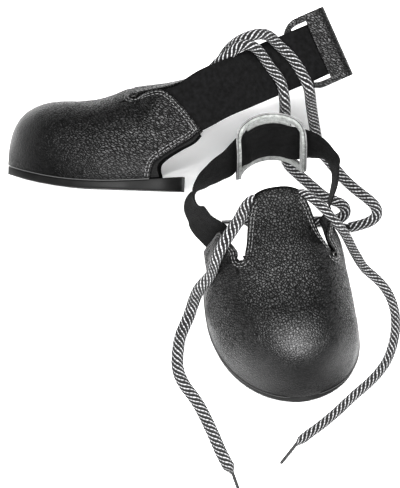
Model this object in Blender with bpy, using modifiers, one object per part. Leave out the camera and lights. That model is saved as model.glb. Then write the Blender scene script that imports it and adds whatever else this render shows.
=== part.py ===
"""A pair of safety shoe covers: leather toe caps on half soles, held by an elastic heel strap.

Each cover has a one-piece leather vamp whose back edge is cut by two slits into a tongue and two
wings, a steel toe cap inside it, a thin rubber half sole, and an elastic strap that runs from
wing to wing through the slits of a padded heel piece. A flat lace goes through the folded hem at
the end of the tongue.

The right cover stands on its sole. The left one is its mirror image: it lies tipped over on its
inner edge behind it. Each cover is modelled in its own frame, where x runs back from the toe, y to
the outer side of the foot and z up from the sole. All lengths are in metres.
"""

import math

import bmesh
import bpy
import numpy as np
from mathutils import Matrix, Vector

GAP = 0.0004  # between pieces that are sewn or glued together

# Sole
SOLE_LENGTH = 0.130
SIDES = {  # half width, and the length and squareness of the rounded front
    "outer": {"sign": 1, "half": 0.0585, "nose": 0.080, "power": 1.9, "taper": 0.005},
    "inner": {"sign": -1, "half": 0.0500, "nose": 0.058, "power": 2.1, "taper": 0.004},
}
REAR_CORNER = 0.016
TOE_SPRING = 0.009
SPRING_LENGTH = 0.062
SOLE_THICKNESS = 0.0062
HEEL_THICKNESS = 0.0108
THICKER_FROM = 0.070
SOLE_INSET = 0.0008
SOLE_BEVEL = 0.0015

# Leather upper
LEATHER = 0.0018
AXIS_Y = -0.002  # the top line and the tongue lie a little to the inner side
TOP_START = 0.050  # where the arcs of the front all meet
SLIT_START = 0.094
SLIT_ROUND = 0.003  # depth of the slit's rounded bottom
SLIT_ANGLES = {"outer": 60.5, "inner": 46.0}  # up the side of the dome, in degrees
SLIT_HALF_ANGLE = 3.2
SIDE_POWER = 2.5  # of the dome's arcs at the sides
FRONT_POWER = 2.75
TONGUE_END = 0.135
TONGUE_ARCH = 0.0025
HEM_RADIUS = 0.0048
HEM_FLAP = 0.0080
HEM_CLOSING = 0.004
WALL_FROM = 0.112  # where a wing has become a steeper wall than the dome's side
WALL_RISE = 0.020  # of the arc that the wall follows above the top line
HINGE_X = 0.098  # where the wings begin to hang down, and the height that they hang about
HINGE_Z = 0.060
FLARE_FROM = 0.110
FLARE_TO = 0.140

# Toe cap
CAP_END = 0.058
CAP_STEEL = 0.0014

# Strap, wing lining and heel piece
LINING = 0.0009
LINING_GAP = 0.0008
STRAP_WIDTH = 0.040
STRAP_THICKNESS = 0.0015
STRAP_START = 0.1155
STRAP_UNDER_WING = 0.0058  # from the leather's outside to the middle of the strap
PAD_HALF_LENGTH = 0.0385
PAD_HALF_HEIGHT = 0.0275
PAD_CORNER = 0.015
PAD_LEATHER = 0.0013
PAD_FELT = 0.0019
PAD_SLIT = {"start": 0.0175, "end": 0.0300, "share": 0.83}

# Columns of each arc of the dome: shares of the way up to the slit, then from it to the top line
LOW_SHARES = [0.0, 0.14, 0.29, 0.45, 0.62, 0.80]
HIGH_SHARES = [0.30, 0.64, 1.0]
SLIT_LOW = len(LOW_SHARES)
SLIT_HIGH = SLIT_LOW + 4

# Top line of the vamp and the tongue, seen from the side
RIDGE = [
    {"x": 0.050, "z": 0.0645},
    {"x": 0.066, "z": 0.0668},
    {"x": 0.076, "z": 0.0700},
    {"x": 0.085, "z": 0.0738},
    {"x": 0.095, "z": 0.0770},
    {"x": 0.105, "z": 0.0786},
    {"x": 0.115, "z": 0.0800},
    {"x": 0.125, "z": 0.0825},
    {"x": 0.135, "z": 0.0860},
    {"x": 0.150, "z": 0.0915},
]

# Half width of the tongue from the slits to its hem
TONGUE = [
    {"x": 0.094, "half": 0.0290},
    {"x": 0.103, "half": 0.0252},
    {"x": 0.114, "half": 0.0228},
    {"x": 0.124, "half": 0.0204},
    {"x": 0.130, "half": 0.0180},
    {"x": 0.135, "half": 0.0150},
]

# Edges of a wing seen from the side: from the slit over the top to the tip, and from the sole
# up the rear edge to the tip
WING_TOP = [
    {"x": 0.103, "z": 0.0726},
    {"x": 0.112, "z": 0.0748},
    {"x": 0.119, "z": 0.0715},
    {"x": 0.127, "z": 0.0640},
    {"x": 0.136, "z": 0.0540},
    {"x": 0.142, "z": 0.0460},
]
WING_REAR = [
    {"x": 0.1070, "z": 0.0090},
    {"x": 0.1075, "z": 0.0150},
    {"x": 0.1092, "z": 0.0205},
    {"x": 0.1140, "z": 0.0248},
    {"x": 0.1270, "z": 0.0338},
    {"x": 0.1370, "z": 0.0405},
    {"x": 0.1420, "z": 0.0460},
]
LINING_TOP = [
    {"x": 0.100, "z": 0.0560},
    {"x": 0.106, "z": 0.0670},
    {"x": 0.112, "z": 0.0700},
    {"x": 0.118, "z": 0.0675},
    {"x": 0.126, "z": 0.0600},
    {"x": 0.135, "z": 0.0505},
    {"x": 0.1412, "z": 0.0425},
]
LINING_REAR = [
    {"x": 0.1135, "z": 0.0105},
    {"x": 0.1120, "z": 0.0160},
    {"x": 0.1125, "z": 0.0195},
    {"x": 0.1155, "z": 0.0228},
    {"x": 0.1282, "z": 0.0318},
    {"x": 0.1382, "z": 0.0385},
    {"x": 0.1412, "z": 0.0425},
]

# The free stretches of each strap, from the wing to the heel piece: the middle of the band, and
# how far its upper edge leans back and to the side it is on, for each unit of height
STRAPS = {
    "right": {
        "outer": [
            {"x": 0.1405, "y": 0.0555, "z": 0.0560, "back": -0.32, "out": -0.24},
            {"x": 0.1492, "y": 0.0590, "z": 0.0625, "back": -0.37, "out": -0.20},
            {"x": 0.1545, "y": 0.0570, "z": 0.0680, "back": -0.35, "out": -0.08},
            {"x": 0.1597, "y": 0.0500, "z": 0.0735, "back": -0.28, "out": 0.04},
            {"x": 0.1636, "y": 0.0405, "z": 0.0785, "back": -0.20, "out": 0.10},
            {"x": 0.1668, "y": 0.0315, "z": 0.0825, "back": -0.10, "out": 0.08},
        ],
        "inner": [
            {"x": 0.1400, "y": 0.0415, "z": 0.0560, "back": -0.40, "out": 0.04},
            {"x": 0.1500, "y": 0.0460, "z": 0.0610, "back": -0.46, "out": 0.08},
            {"x": 0.1595, "y": 0.0482, "z": 0.0665, "back": -0.45, "out": 0.02},
            {"x": 0.1655, "y": 0.0460, "z": 0.0725, "back": -0.38, "out": -0.05},
            {"x": 0.1690, "y": 0.0400, "z": 0.0780, "back": -0.26, "out": -0.04},
            {"x": 0.1720, "y": 0.0325, "z": 0.0825, "back": -0.10, "out": 0.00},
        ],
    },
    "left": {
        "outer": [
            {"x": 0.1500, "y": 0.0350, "z": 0.0724, "back": -0.48, "out": 0.00},
            {"x": 0.1680, "y": 0.0200, "z": 0.0811, "back": -0.48, "out": 0.00},
            {"x": 0.1860, "y": 0.0020, "z": 0.0899, "back": -0.48, "out": 0.00},
            {"x": 0.2010, "y": -0.0120, "z": 0.0972, "back": -0.48, "out": 0.00},
        ],
        "inner": [
            {"x": 0.1500, "y": 0.0350, "z": 0.0740, "back": -0.48, "out": 0.00},
            {"x": 0.1680, "y": 0.0342, "z": 0.0827, "back": -0.48, "out": 0.00},
            {"x": 0.1860, "y": 0.0338, "z": 0.0914, "back": -0.48, "out": 0.00},
            {"x": 0.2010, "y": 0.0335, "z": 0.0982, "back": -0.48, "out": 0.00},
        ],
    },
}

# How each cover lies, how its wings hang, and the shape and place of its heel piece: the middle of
# its back, its rise towards the back, and the half width and depth of its round
COVERS = {
    "right": {
        "place": (0.0874, -0.1470, 0.0),
        "turn": math.radians(98.4),
        "tip": 0.0,
        "mirrored": False,
        "droop": math.radians(28),
        "flare": {"outer": 0.003, "inner": 0.0},
        "strap_start": {"outer": 0.0495, "inner": 0.0495},
        "strap_rise": math.radians(34),
        "pad": {
            "at": (0.1850, -0.0015, 0.0860),
            "rise": 0.0,
            "half_width": 0.0245,
            "depth": 0.020,
            "strap_past_slit": [],
        },
    },
    "left": {
        "place": (-0.1297, 0.0246, 0.0394),
        "turn": math.radians(-2.3),
        "tip": math.radians(55.0),
        "mirrored": True,
        "droop": 0.0,
        "flare": {"outer": 0.003, "inner": 0.0},
        "strap_start": {"outer": 0.0555, "inner": 0.0570},
        "strap_rise": math.radians(25.8),
        "pad": {
            "at": (0.2390, -0.0250, 0.1155),
            "rise": math.radians(25.8),
            "half_width": 0.0050,
            "depth": 0.005,
            "strap_past_slit": [(0.0300, 0.0028), (0.0345, 0.0030)],
        },
    },
}

# Laces: each hem holds the middle of one lace, whose two ends are a cord each. Their routes are
# chosen by hand, from the middle of the tunnel out of its mouth and down to the floor.
LACE_RADIUS = 0.0021
LACE_STEP = 0.009
AGLET_RADIUS = 0.0012
LACE_ROUTES = {
    "right_lace_outer": [
        (0.0687, -0.0117, 0.0815),
        (0.0620, -0.0127, 0.0813),
        (0.0546, -0.0138, 0.0790),
        (0.0485, -0.0170, 0.0778),
        (0.0445, -0.0245, 0.0773),
        (0.0410, -0.0332, 0.0774),
        (0.0358, -0.0420, 0.0775),
        (0.0310, -0.0492, 0.0758),
        (0.0267, -0.0545, 0.0690),
        (0.0232, -0.0583, 0.0610),
        (0.0200, -0.0605, 0.0525),
        (0.0169, -0.0618, 0.0440),
        (0.0119, -0.0629, 0.0330),
        (0.0085, -0.0632, 0.0200),
        (0.0057, -0.0650, 0.0080),
        (0.0031, -0.0700, 0.0030),
        (-0.0005, -0.0786, 0.0023),
        (-0.0038, -0.0976, 0.0023),
        (-0.0035, -0.1148, 0.0023),
        (0.0010, -0.1268, 0.0023),
        (0.0090, -0.1392, 0.0023),
        (0.0162, -0.1546, 0.0023),
        (0.0221, -0.1699, 0.0023),
        (0.0290, -0.1889, 0.0023),
        (0.0362, -0.2043, 0.0023),
    ],
    "right_lace_inner": [
        (0.0696, -0.0116, 0.0815),
        (0.0768, -0.0106, 0.0813),
        (0.0843, -0.0094, 0.0790),
        (0.0907, -0.0102, 0.0785),
        (0.0965, -0.0150, 0.0777),
        (0.1012, -0.0193, 0.0765),
        (0.1055, -0.0232, 0.0752),
        (0.1090, -0.0264, 0.0730),
        (0.1127, -0.0288, 0.0690),
        (0.1165, -0.0293, 0.0610),
        (0.1205, -0.0283, 0.0485),
        (0.1249, -0.0270, 0.0320),
        (0.1295, -0.0258, 0.0170),
        (0.1337, -0.0256, 0.0060),
        (0.1381, -0.0278, 0.0025),
        (0.1430, -0.0328, 0.0023),
        (0.1495, -0.0418, 0.0023),
        (0.1550, -0.0567, 0.0023),
        (0.1565, -0.0728, 0.0023),
        (0.1541, -0.0913, 0.0023),
        (0.1485, -0.1082, 0.0023),
        (0.1387, -0.1226, 0.0023),
        (0.1252, -0.1366, 0.0023),
        (0.1122, -0.1512, 0.0023),
        (0.0995, -0.1638, 0.0023),
        (0.0897, -0.1722, 0.0023),
        (0.0822, -0.1799, 0.0023),
    ],
    "left_lace_outer": [
        (0.0095, 0.0865, 0.0851),
        (0.0094, 0.0822, 0.0903),
        (0.0092, 0.0763, 0.0954),
        (0.0090, 0.0727, 0.0988),
        (0.0108, 0.0702, 0.1036),
        (0.0168, 0.0741, 0.1068),
        (0.0239, 0.0847, 0.1077),
        (0.0307, 0.0920, 0.1102),
        (0.0374, 0.0968, 0.1129),
        (0.0443, 0.0999, 0.1139),
        (0.0509, 0.1011, 0.1112),
        (0.0565, 0.0999, 0.1054),
        (0.0609, 0.0976, 0.0994),
        (0.0664, 0.0924, 0.0936),
        (0.0711, 0.0871, 0.0898),
        (0.0745, 0.0791, 0.0856),
        (0.0754, 0.0743, 0.0774),
        (0.0753, 0.0731, 0.0654),
        (0.0751, 0.0733, 0.0484),
        (0.0751, 0.0735, 0.0284),
        (0.0757, 0.0733, 0.0119),
        (0.0773, 0.0704, 0.0045),
        (0.0808, 0.0675, 0.0023),
        (0.0875, 0.0600, 0.0023),
        (0.0987, 0.0482, 0.0023),
        (0.1060, 0.0404, 0.0023),
        (0.1122, 0.0378, 0.0023),
        (0.1183, 0.0357, 0.0023),
        (0.1217, 0.0300, 0.0023),
        (0.1195, 0.0233, 0.0023),
        (0.1115, 0.0198, 0.0023),
        (0.0940, 0.0188, 0.0023),
        (0.0718, 0.0188, 0.0023),
        (0.0532, 0.0190, 0.0023),
        (0.0425, 0.0190, 0.0023),
    ],
    "left_lace_inner": [
        (0.0097, 0.0874, 0.0838),
        (0.0098, 0.0908, 0.0780),
        (0.0099, 0.0935, 0.0708),
        (0.0103, 0.0954, 0.0664),
        (0.0137, 0.0979, 0.0624),
        (0.0195, 0.1013, 0.0621),
        (0.0246, 0.1047, 0.0684),
        (0.0274, 0.1065, 0.0790),
        (0.0307, 0.1064, 0.0913),
        (0.0357, 0.1057, 0.1029),
        (0.0421, 0.1055, 0.1114),
        (0.0497, 0.1069, 0.1149),
        (0.0578, 0.1111, 0.1119),
        (0.0639, 0.1136, 0.1059),
        (0.0685, 0.1133, 0.0994),
        (0.0725, 0.1116, 0.0954),
        (0.0780, 0.1089, 0.0911),
        (0.0825, 0.1051, 0.0876),
        (0.0859, 0.1011, 0.0842),
        (0.0887, 0.0961, 0.0811),
        (0.0918, 0.0906, 0.0787),
        (0.0937, 0.0877, 0.0704),
        (0.0946, 0.0886, 0.0564),
        (0.0963, 0.0894, 0.0384),
        (0.0983, 0.0886, 0.0204),
        (0.1005, 0.0855, 0.0080),
        (0.1037, 0.0815, 0.0025),
        (0.1088, 0.0742, 0.0023),
        (0.1193, 0.0585, 0.0023),
        (0.1305, 0.0458, 0.0023),
        (0.1405, 0.0365, 0.0023),
        (0.1450, 0.0290, 0.0023),
        (0.1425, 0.0212, 0.0023),
        (0.1335, 0.0165, 0.0023),
        (0.1236, 0.0135, 0.0023),
    ],
}
AGLET_TIPS = {
    "right_lace_outer": (0.0409, -0.2197, 0.0013),
    "right_lace_inner": (0.0713, -0.1955, 0.0013),
    "left_lace_outer": (0.0288, 0.0190, 0.0013),
}

COLOURS = {
    "leather": {"rgb": (0.018, 0.018, 0.019), "roughness": 0.42, "metallic": 0.0},
    "rubber": {"rgb": (0.022, 0.022, 0.023), "roughness": 0.65, "metallic": 0.0},
    "steel": {"rgb": (0.45, 0.46, 0.48), "roughness": 0.35, "metallic": 1.0},
    "lining": {"rgb": (0.035, 0.035, 0.036), "roughness": 0.85, "metallic": 0.0},
    "elastic": {"rgb": (0.020, 0.020, 0.021), "roughness": 0.90, "metallic": 0.0},
    "felt": {"rgb": (0.42, 0.43, 0.42), "roughness": 1.0, "metallic": 0.0},
    "lace": {"rgb": (0.20, 0.20, 0.21), "roughness": 0.80, "metallic": 0.0},
    "aglet": {"rgb": (0.05, 0.05, 0.05), "roughness": 0.35, "metallic": 0.0},
}


def ease(share):
    """0 to 1 with a level start and end."""
    share = min(max(share, 0.0), 1.0)
    return share * share * (3 - 2 * share)


def curve_through(keys, values):
    """Slopes for a smooth curve through values at rising keys."""
    steps = np.diff(keys)[:, None]
    rates = np.diff(values, axis=0) / steps
    inner = (rates[:-1] * steps[1:] + rates[1:] * steps[:-1]) / (steps[:-1] + steps[1:])
    return np.vstack([rates[:1], inner, rates[-1:]])


def read_curve(keys, values, slopes, key):
    """The smooth curve's value at one key. Past its ends it goes on straight."""
    if key <= keys[0]:
        return values[0] + slopes[0] * (key - keys[0])
    if key >= keys[-1]:
        return values[-1] + slopes[-1] * (key - keys[-1])
    k = int(np.searchsorted(keys, key, side="right")) - 1
    step = keys[k + 1] - keys[k]
    t = (key - keys[k]) / step
    start = (1 + 2 * t) * (1 - t) ** 2
    end = t * t * (3 - 2 * t)
    start_slope = t * (1 - t) ** 2 * step
    end_slope = t * t * (t - 1) * step
    return (
        start * values[k]
        + end * values[k + 1]
        + start_slope * slopes[k]
        + end_slope * slopes[k + 1]
    )


def column_at(rows, column, x):
    """A column of a table at x, on a smooth curve through its rows."""
    keys = np.array([row["x"] for row in rows])
    values = np.array([[row[column]] for row in rows])
    return float(read_curve(keys, values, curve_through(keys, values), x)[0])


def smooth_route(points, count):
    """Rows spaced evenly on a smooth curve through points, whose first 3 columns are x, y and z."""
    points = np.asarray(points, float)
    keys = np.concatenate([[0.0], np.cumsum(np.linalg.norm(np.diff(points[:, :3], axis=0), axis=1))])
    slopes = curve_through(keys, points)
    fine = np.linspace(0, keys[-1], 8 * count)
    dense = np.array([read_curve(keys, points, slopes, key) for key in fine])
    gone = np.concatenate([[0.0], np.cumsum(np.linalg.norm(np.diff(dense[:, :3], axis=0), axis=1))])
    at = np.linspace(0, gone[-1], count)
    return np.stack([np.interp(at, gone, dense[:, k]) for k in range(dense.shape[1])], 1)


def smooth_rows(points, longest):
    """A smooth curve through rows, cut between each two rows into steps that aren't too long."""
    points = np.asarray(points, float)
    gaps = np.linalg.norm(np.diff(points[:, :3], axis=0), axis=1)
    keys = np.concatenate([[0.0], np.cumsum(gaps)])
    slopes = curve_through(keys, points)
    at = [0.0]
    for k, gap in enumerate(gaps):
        count = math.ceil(gap / longest)
        at += [keys[k] + gap * (n + 1) / count for n in range(count)]
    return np.array([read_curve(keys, points, slopes, key) for key in at])


def material(name):
    found = bpy.data.materials.get(name)
    if found is None:
        found = bpy.data.materials.new(name)
        found.use_nodes = True
        shader = found.node_tree.nodes["Principled BSDF"]
        shader.inputs["Base Color"].default_value = (*COLOURS[name]["rgb"], 1.0)
        shader.inputs["Roughness"].default_value = COLOURS[name]["roughness"]
        shader.inputs["Metallic"].default_value = COLOURS[name]["metallic"]
        found.diffuse_color = (*COLOURS[name]["rgb"], 1.0)
    return found


def add_piece(name, mesh, slot, parent=None):
    """Puts a mesh into the object's collection as one named piece."""
    piece = bpy.data.objects.new(name, mesh)
    mesh.materials.append(material(slot))
    mesh.shade_smooth()
    mesh.set_sharp_from_angle(angle=math.radians(40))
    bpy.data.collections["shoe_covers"].objects.link(piece)
    piece.parent = parent
    return piece


def sheets_mesh(name, sheets):
    """One mesh from grids of points, joined where their edges meet. A grid cell that is not kept
    is left open."""
    mesh = bpy.data.meshes.new(name)
    shape = bmesh.new()
    for points, kept in sheets:
        grid = [[shape.verts.new(p) for p in row] for row in points]
        for i in range(len(grid) - 1):
            for j in range(len(grid[0]) - 1):
                if kept is None or kept(i, j):
                    corners = [grid[i][j], grid[i + 1][j], grid[i + 1][j + 1], grid[i][j + 1]]
                    shape.faces.new(corners)
    bmesh.ops.remove_doubles(shape, verts=shape.verts, dist=1e-5)
    bmesh.ops.dissolve_degenerate(shape, edges=shape.edges, dist=1e-6)
    loose = [v for v in shape.verts if not v.link_faces]
    bmesh.ops.delete(shape, geom=loose, context="VERTS")
    shape.to_mesh(mesh)
    shape.free()
    return mesh


def thicken(piece, thickness, outwards=False):
    """Gives an open sheet its thickness, to the inside unless it is to go outwards."""
    wall = piece.modifiers.new("wall", "SOLIDIFY")
    wall.thickness = thickness
    wall.offset = 1.0 if outwards else -1.0
    wall.use_even_offset = True


def ring_mesh(name, rings):
    """A closed body through rings of points, with flat ends."""
    mesh = bpy.data.meshes.new(name)
    shape = bmesh.new()
    loops = [[shape.verts.new(p) for p in ring] for ring in rings]
    size = len(loops[0])
    for first, second in zip(loops[:-1], loops[1:], strict=True):
        for k in range(size):
            after = (k + 1) % size
            shape.faces.new([first[k], first[after], second[after], second[k]])
    shape.faces.new(loops[0][::-1])
    shape.faces.new(loops[-1])
    bmesh.ops.recalc_face_normals(shape, faces=shape.faces)
    shape.to_mesh(mesh)
    shape.free()
    return mesh


def band_rings(route, section):
    """Sections along a route. Its columns are x, y, z and the direction of the band's width."""
    middles, widths = route[:, :3], route[:, 3:6]
    along = np.gradient(middles, axis=0)
    along /= np.linalg.norm(along, axis=1)[:, None]
    widths = widths - along * (widths * along).sum(1)[:, None]
    widths /= np.linalg.norm(widths, axis=1)[:, None]
    faces = np.cross(along, widths)
    return [
        [middle + width * a + face * b for a, b in section]
        for middle, width, face in zip(middles, widths, faces, strict=True)
    ]


def half_width(x, side):
    """Half width of the outline at x. Its front is a rounded nose, and it tapers behind that."""
    facts = SIDES[side]
    nose = facts["nose"]
    if x < nose:
        share = (nose - x) / nose
        return facts["half"] * (1 - share ** facts["power"]) ** (1 / facts["power"])
    return facts["half"] - facts["taper"] * ((x - nose) / (SOLE_LENGTH - nose)) ** 2


def sole_bottom(x):
    return TOE_SPRING * max(0.0, (SPRING_LENGTH - x) / SPRING_LENGTH) ** 2


def sole_top(x):
    behind = max(0.0, (x - THICKER_FROM) / (SOLE_LENGTH - THICKER_FROM))
    thicker = (HEEL_THICKNESS - SOLE_THICKNESS) * behind**1.4
    return sole_bottom(x) + SOLE_THICKNESS + thicker


def ridge(x):
    return column_at(RIDGE, "z", x)


def make_sole(cover, frame):
    """The half sole: sections across it, from the toe to its cut-off back."""
    front = [0.0004, 0.0012, 0.0028, 0.0055, 0.0095, 0.015, 0.022, 0.030, 0.040]
    middle = list(np.linspace(TOP_START, SOLE_LENGTH - REAR_CORNER, 8))
    rear = [SOLE_LENGTH - REAR_CORNER * (1 - math.sin(a)) for a in np.radians([25, 45, 62, 76, 86])]
    rings = []
    for x in [*front, *middle, *rear]:
        corner = max(0.0, (x - SOLE_LENGTH + REAR_CORNER) / REAR_CORNER)
        cut = REAR_CORNER * (1 - math.sqrt(1 - corner**2))
        outer = half_width(x, "outer") - SOLE_INSET - cut
        inner = -half_width(x, "inner") + SOLE_INSET + cut
        top, bottom = sole_top(x), sole_bottom(x)
        bevel = min(SOLE_BEVEL, (top - bottom) / 3)
        rings.append(
            [
                Vector((x, outer, top)),
                Vector((x, outer, bottom + bevel)),
                Vector((x, outer - bevel, bottom)),
                Vector((x, inner + bevel, bottom)),
                Vector((x, inner, bottom + bevel)),
                Vector((x, inner, top)),
            ]
        )
    return add_piece(f"{cover}_sole", ring_mesh(f"{cover}_sole", rings), "rubber", frame)


def dome_feet(shares, backs):
    """Places on the outline, from the outer side round the toe to the inner side: x, y, how far
    round they are from the outer side (0) to the inner one (1), and how far to the front."""
    fan = [TOP_START * share**2 for share in shares]
    feet = [(x, half_width(x, "outer"), 0.0, 0.0) for x in backs]
    for x, share in zip(fan, shares, strict=True):
        feet.append((x, half_width(x, "outer"), 0.5 * (1 - share), 1 - share))
    for x, share in zip(fan[-2::-1], shares[-2::-1], strict=True):
        feet.append((x, -half_width(x, "inner"), 1 - 0.5 * (1 - share), 1 - share))
    return feet + [(x, -half_width(x, "inner"), 1.0, 0.0) for x in backs[::-1]]


def dome_angles(round_share):
    """Angles of an arc's columns, with the slit's own between them."""
    slit = SLIT_ANGLES["outer"] + (SLIT_ANGLES["inner"] - SLIT_ANGLES["outer"]) * round_share
    low, high = slit - SLIT_HALF_ANGLE, slit + SLIT_HALF_ANGLE
    angles = [low * share for share in LOW_SHARES]
    angles += [low, slit - 0.75 * SLIT_HALF_ANGLE, slit, slit + 0.75 * SLIT_HALF_ANGLE, high]
    return angles + [high + (90 - high) * share for share in HIGH_SHARES]


def dome_arc(foot, angles, inset):
    """Points from a place on the outline up to the top line, which the front arcs all meet at one
    point."""
    x, y, _, frontness = foot
    top_x = max(x, TOP_START)
    low_end = Vector((x, y))
    top = Vector((top_x, AXIS_Y))
    low_end = low_end + (top - low_end).normalized() * inset
    low = sole_top(x) + GAP
    high = ridge(top_x) - inset
    power = SIDE_POWER + (FRONT_POWER - SIDE_POWER) * frontness
    points = []
    for angle in np.radians(angles):
        across = max(math.cos(angle), 0.0) ** (2 / power)
        up = math.sin(angle) ** (2 / power)
        flat = top + (low_end - top) * across
        points.append(Vector((flat.x, flat.y, low + (high - low) * up)))
    return points


def wing_y(x, z, side, flare):
    """Distance of a wing from the middle plane: the dome's flank at the slit, and behind it a
    steeper wall that flares at its tip."""
    upright = ease((x - SLIT_START) / (WALL_FROM - SLIT_START))
    low = sole_top(SLIT_START) + GAP
    high = ridge(SLIT_START) + WALL_RISE * upright
    share = min(max((z - low) / (high - low), 0.0), 1.0)
    axis = AXIS_Y * SIDES[side]["sign"]
    across = (1 - share**SIDE_POWER) ** (1 / SIDE_POWER)
    half = half_width(min(x, SOLE_LENGTH), side)
    half += flare * max(0.0, (x - FLARE_FROM) / (FLARE_TO - FLARE_FROM)) ** 1.5
    return axis + (half - axis) * across


def wing_point(x, z, side, facts, depth=0.0):
    """A point of a wing, moved in by a depth and then hung as the cover's wings hang."""
    flare = facts["flare"][side]
    step = 0.0005
    y = wing_y(x, z, side, flare)
    slope_x = (wing_y(x + step, z, side, flare) - wing_y(x - step, z, side, flare)) / (2 * step)
    slope_z = (wing_y(x, z + step, side, flare) - wing_y(x, z - step, side, flare)) / (2 * step)
    outward = Vector((-slope_x, 1.0, -slope_z)).normalized()
    if x <= SLIT_START:
        outward.x = 0.0
    point = Vector((x, y, z)) - outward * depth
    point.y *= SIDES[side]["sign"]
    hang = facts["droop"] * ease((point.x - HINGE_X) / 0.030) * ease((point.z - 0.010) / 0.025)
    back, up = point.x - HINGE_X, point.z - HINGE_Z
    point.x = HINGE_X + back * math.cos(hang) + up * math.sin(hang)
    point.z = HINGE_Z + up * math.cos(hang) - back * math.sin(hang)
    return point


def side_curve(rows, count):
    """Evenly spaced (x, z) places on a smooth curve through a table's rows."""
    points = [(row["x"], 0.0, row["z"]) for row in rows]
    return smooth_route(points, count)[:, [0, 2]]


def fill_between(bottom, top, front, rear):
    """A grid of places between four edges, which meet at its corners."""
    columns, rows = len(bottom), len(front)
    grid = np.zeros((columns, rows, 2))
    for i in range(columns):
        for j in range(rows):
            u, v = i / (columns - 1), j / (rows - 1)
            grid[i, j] = (1 - v) * bottom[i] + v * top[i] + (1 - u) * front[j] + u * rear[j]
            grid[i, j] -= (1 - u) * ((1 - v) * bottom[0] + v * top[0])
            grid[i, j] -= u * ((1 - v) * bottom[-1] + v * top[-1])
    return grid


def wing_sheet(side, facts, front_edge, top_rows, rear_rows, columns, depth):
    """A wing or its lining as a grid of points, in order round the shoe."""
    rows = len(front_edge)
    start = {"x": float(front_edge[-1][0]), "z": float(front_edge[-1][1])}
    top = side_curve([start, *top_rows], columns)
    rear = side_curve(rear_rows, rows)
    bottom = np.array(
        [
            [x, sole_top(x) + (front_edge[0][1] - sole_top(front_edge[0][0]))]
            for x in np.linspace(front_edge[0][0], rear[0][0], columns)
        ]
    )
    rear[0] = bottom[-1]
    places = fill_between(bottom, top, front_edge, rear)
    points = [[wing_point(x, z, side, facts, depth) for x, z in row] for row in places]
    return points[::-1] if side == "outer" else points


def make_vamp(cover, facts, frame):
    """The one-piece upper: the dome over the toes, the two wings, and the tongue with its hem."""
    backs = [SLIT_START, 0.087, 0.080, 0.072, 0.065, 0.057]
    feet = dome_feet([1.0, 0.9, 0.8, 0.7, 0.6, 0.5, 0.4, 0.3, 0.2, 0.1, 0.0], backs)
    dome = [dome_arc(foot, dome_angles(foot[2]), 0.0) for foot in feet]
    for arc, foot in ((dome[0], feet[0]), (dome[-1], feet[-1])):
        angles = dome_angles(foot[2])
        slit = angles[SLIT_LOW + 2]
        for angle, point in zip(angles, arc, strict=True):
            off = (angle - slit) / SLIT_HALF_ANGLE
            point.x -= SLIT_ROUND * math.sqrt(max(0.0, 1 - off**2))
    sheets = [(dome, None)]

    front_edges = {"outer": dome[0], "inner": dome[-1]}
    for side, arc in front_edges.items():
        edge = np.array([[p.x, p.z] for p in arc[: SLIT_LOW + 1]])
        points = wing_sheet(side, facts, edge, WING_TOP, WING_REAR, 10, 0.0)
        points[-1 if side == "outer" else 0] = arc[: SLIT_LOW + 1]
        sheets.append((points, None))

    across = [*dome[-1][SLIT_HIGH:], *dome[0][SLIT_HIGH:-1][::-1]]
    sheets.append((tongue_points(across), None))
    piece = add_piece(f"{cover}_vamp", sheets_mesh(f"{cover}_vamp", sheets), "leather", frame)
    thicken(piece, LEATHER)
    return piece


def tongue_points(across):
    """The tongue from the row of points between the slits to its end, which folds under itself
    into a tunnel for the lace."""
    centre = (across[0].y + across[-1].y) / 2
    half = (across[-1].y - across[0].y) / 2
    rows = [across]
    for x in np.linspace(SLIT_START, TONGUE_END, 8)[1:]:
        share = (x - SLIT_START) / (TONGUE_END - SLIT_START)
        flat = ease(1.3 * share)
        row = []
        for point in across:
            off = (point.y - centre) / half
            middle = centre + (AXIS_Y - centre) * ease(2 * share)
            y = middle + off * column_at(TONGUE, "half", x)
            dip = (1 - flat) * (across[len(across) // 2].z - point.z) + flat * TONGUE_ARCH * off**2
            row.append(Vector((x, y, ridge(x) - dip)))
        rows.append(row)
    slope = math.atan2(ridge(TONGUE_END) - ridge(TONGUE_END - 0.004), 0.004)
    ahead = Vector((math.cos(slope), 0.0, math.sin(slope)))
    below = Vector((math.sin(slope), 0.0, -math.cos(slope)))
    ends = rows[-1]
    for angle in np.radians([35, 70, 110, 145, 180]):
        move = ahead * (HEM_RADIUS * math.sin(angle)) + below * (HEM_RADIUS * (1 - math.cos(angle)))
        rows.append([p + move for p in ends])
    under = [p + below * (2 * HEM_RADIUS) for p in ends]
    rise = 2 * HEM_RADIUS - 2 * LEATHER - GAP
    rows.append([p - ahead * HEM_FLAP for p in under])
    rows.append([p - ahead * (HEM_FLAP + HEM_CLOSING) - below * rise for p in under])
    return rows


def make_toe_cap(cover, frame):
    """The steel cap under the front of the vamp."""
    angles = [0, 14, 30, 46, 62, 77, 90]
    feet = dome_feet([1.0, 0.85, 0.7, 0.55, 0.4, 0.25, 0.12, 0.0], [CAP_END])
    inset = LEATHER + 2 * GAP
    arcs = [dome_arc(foot, angles, inset) for foot in feet]
    mesh = sheets_mesh(f"{cover}_toe_cap", [(arcs, None)])
    piece = add_piece(f"{cover}_toe_cap", mesh, "steel", frame)
    thicken(piece, CAP_STEEL)
    return piece


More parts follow.
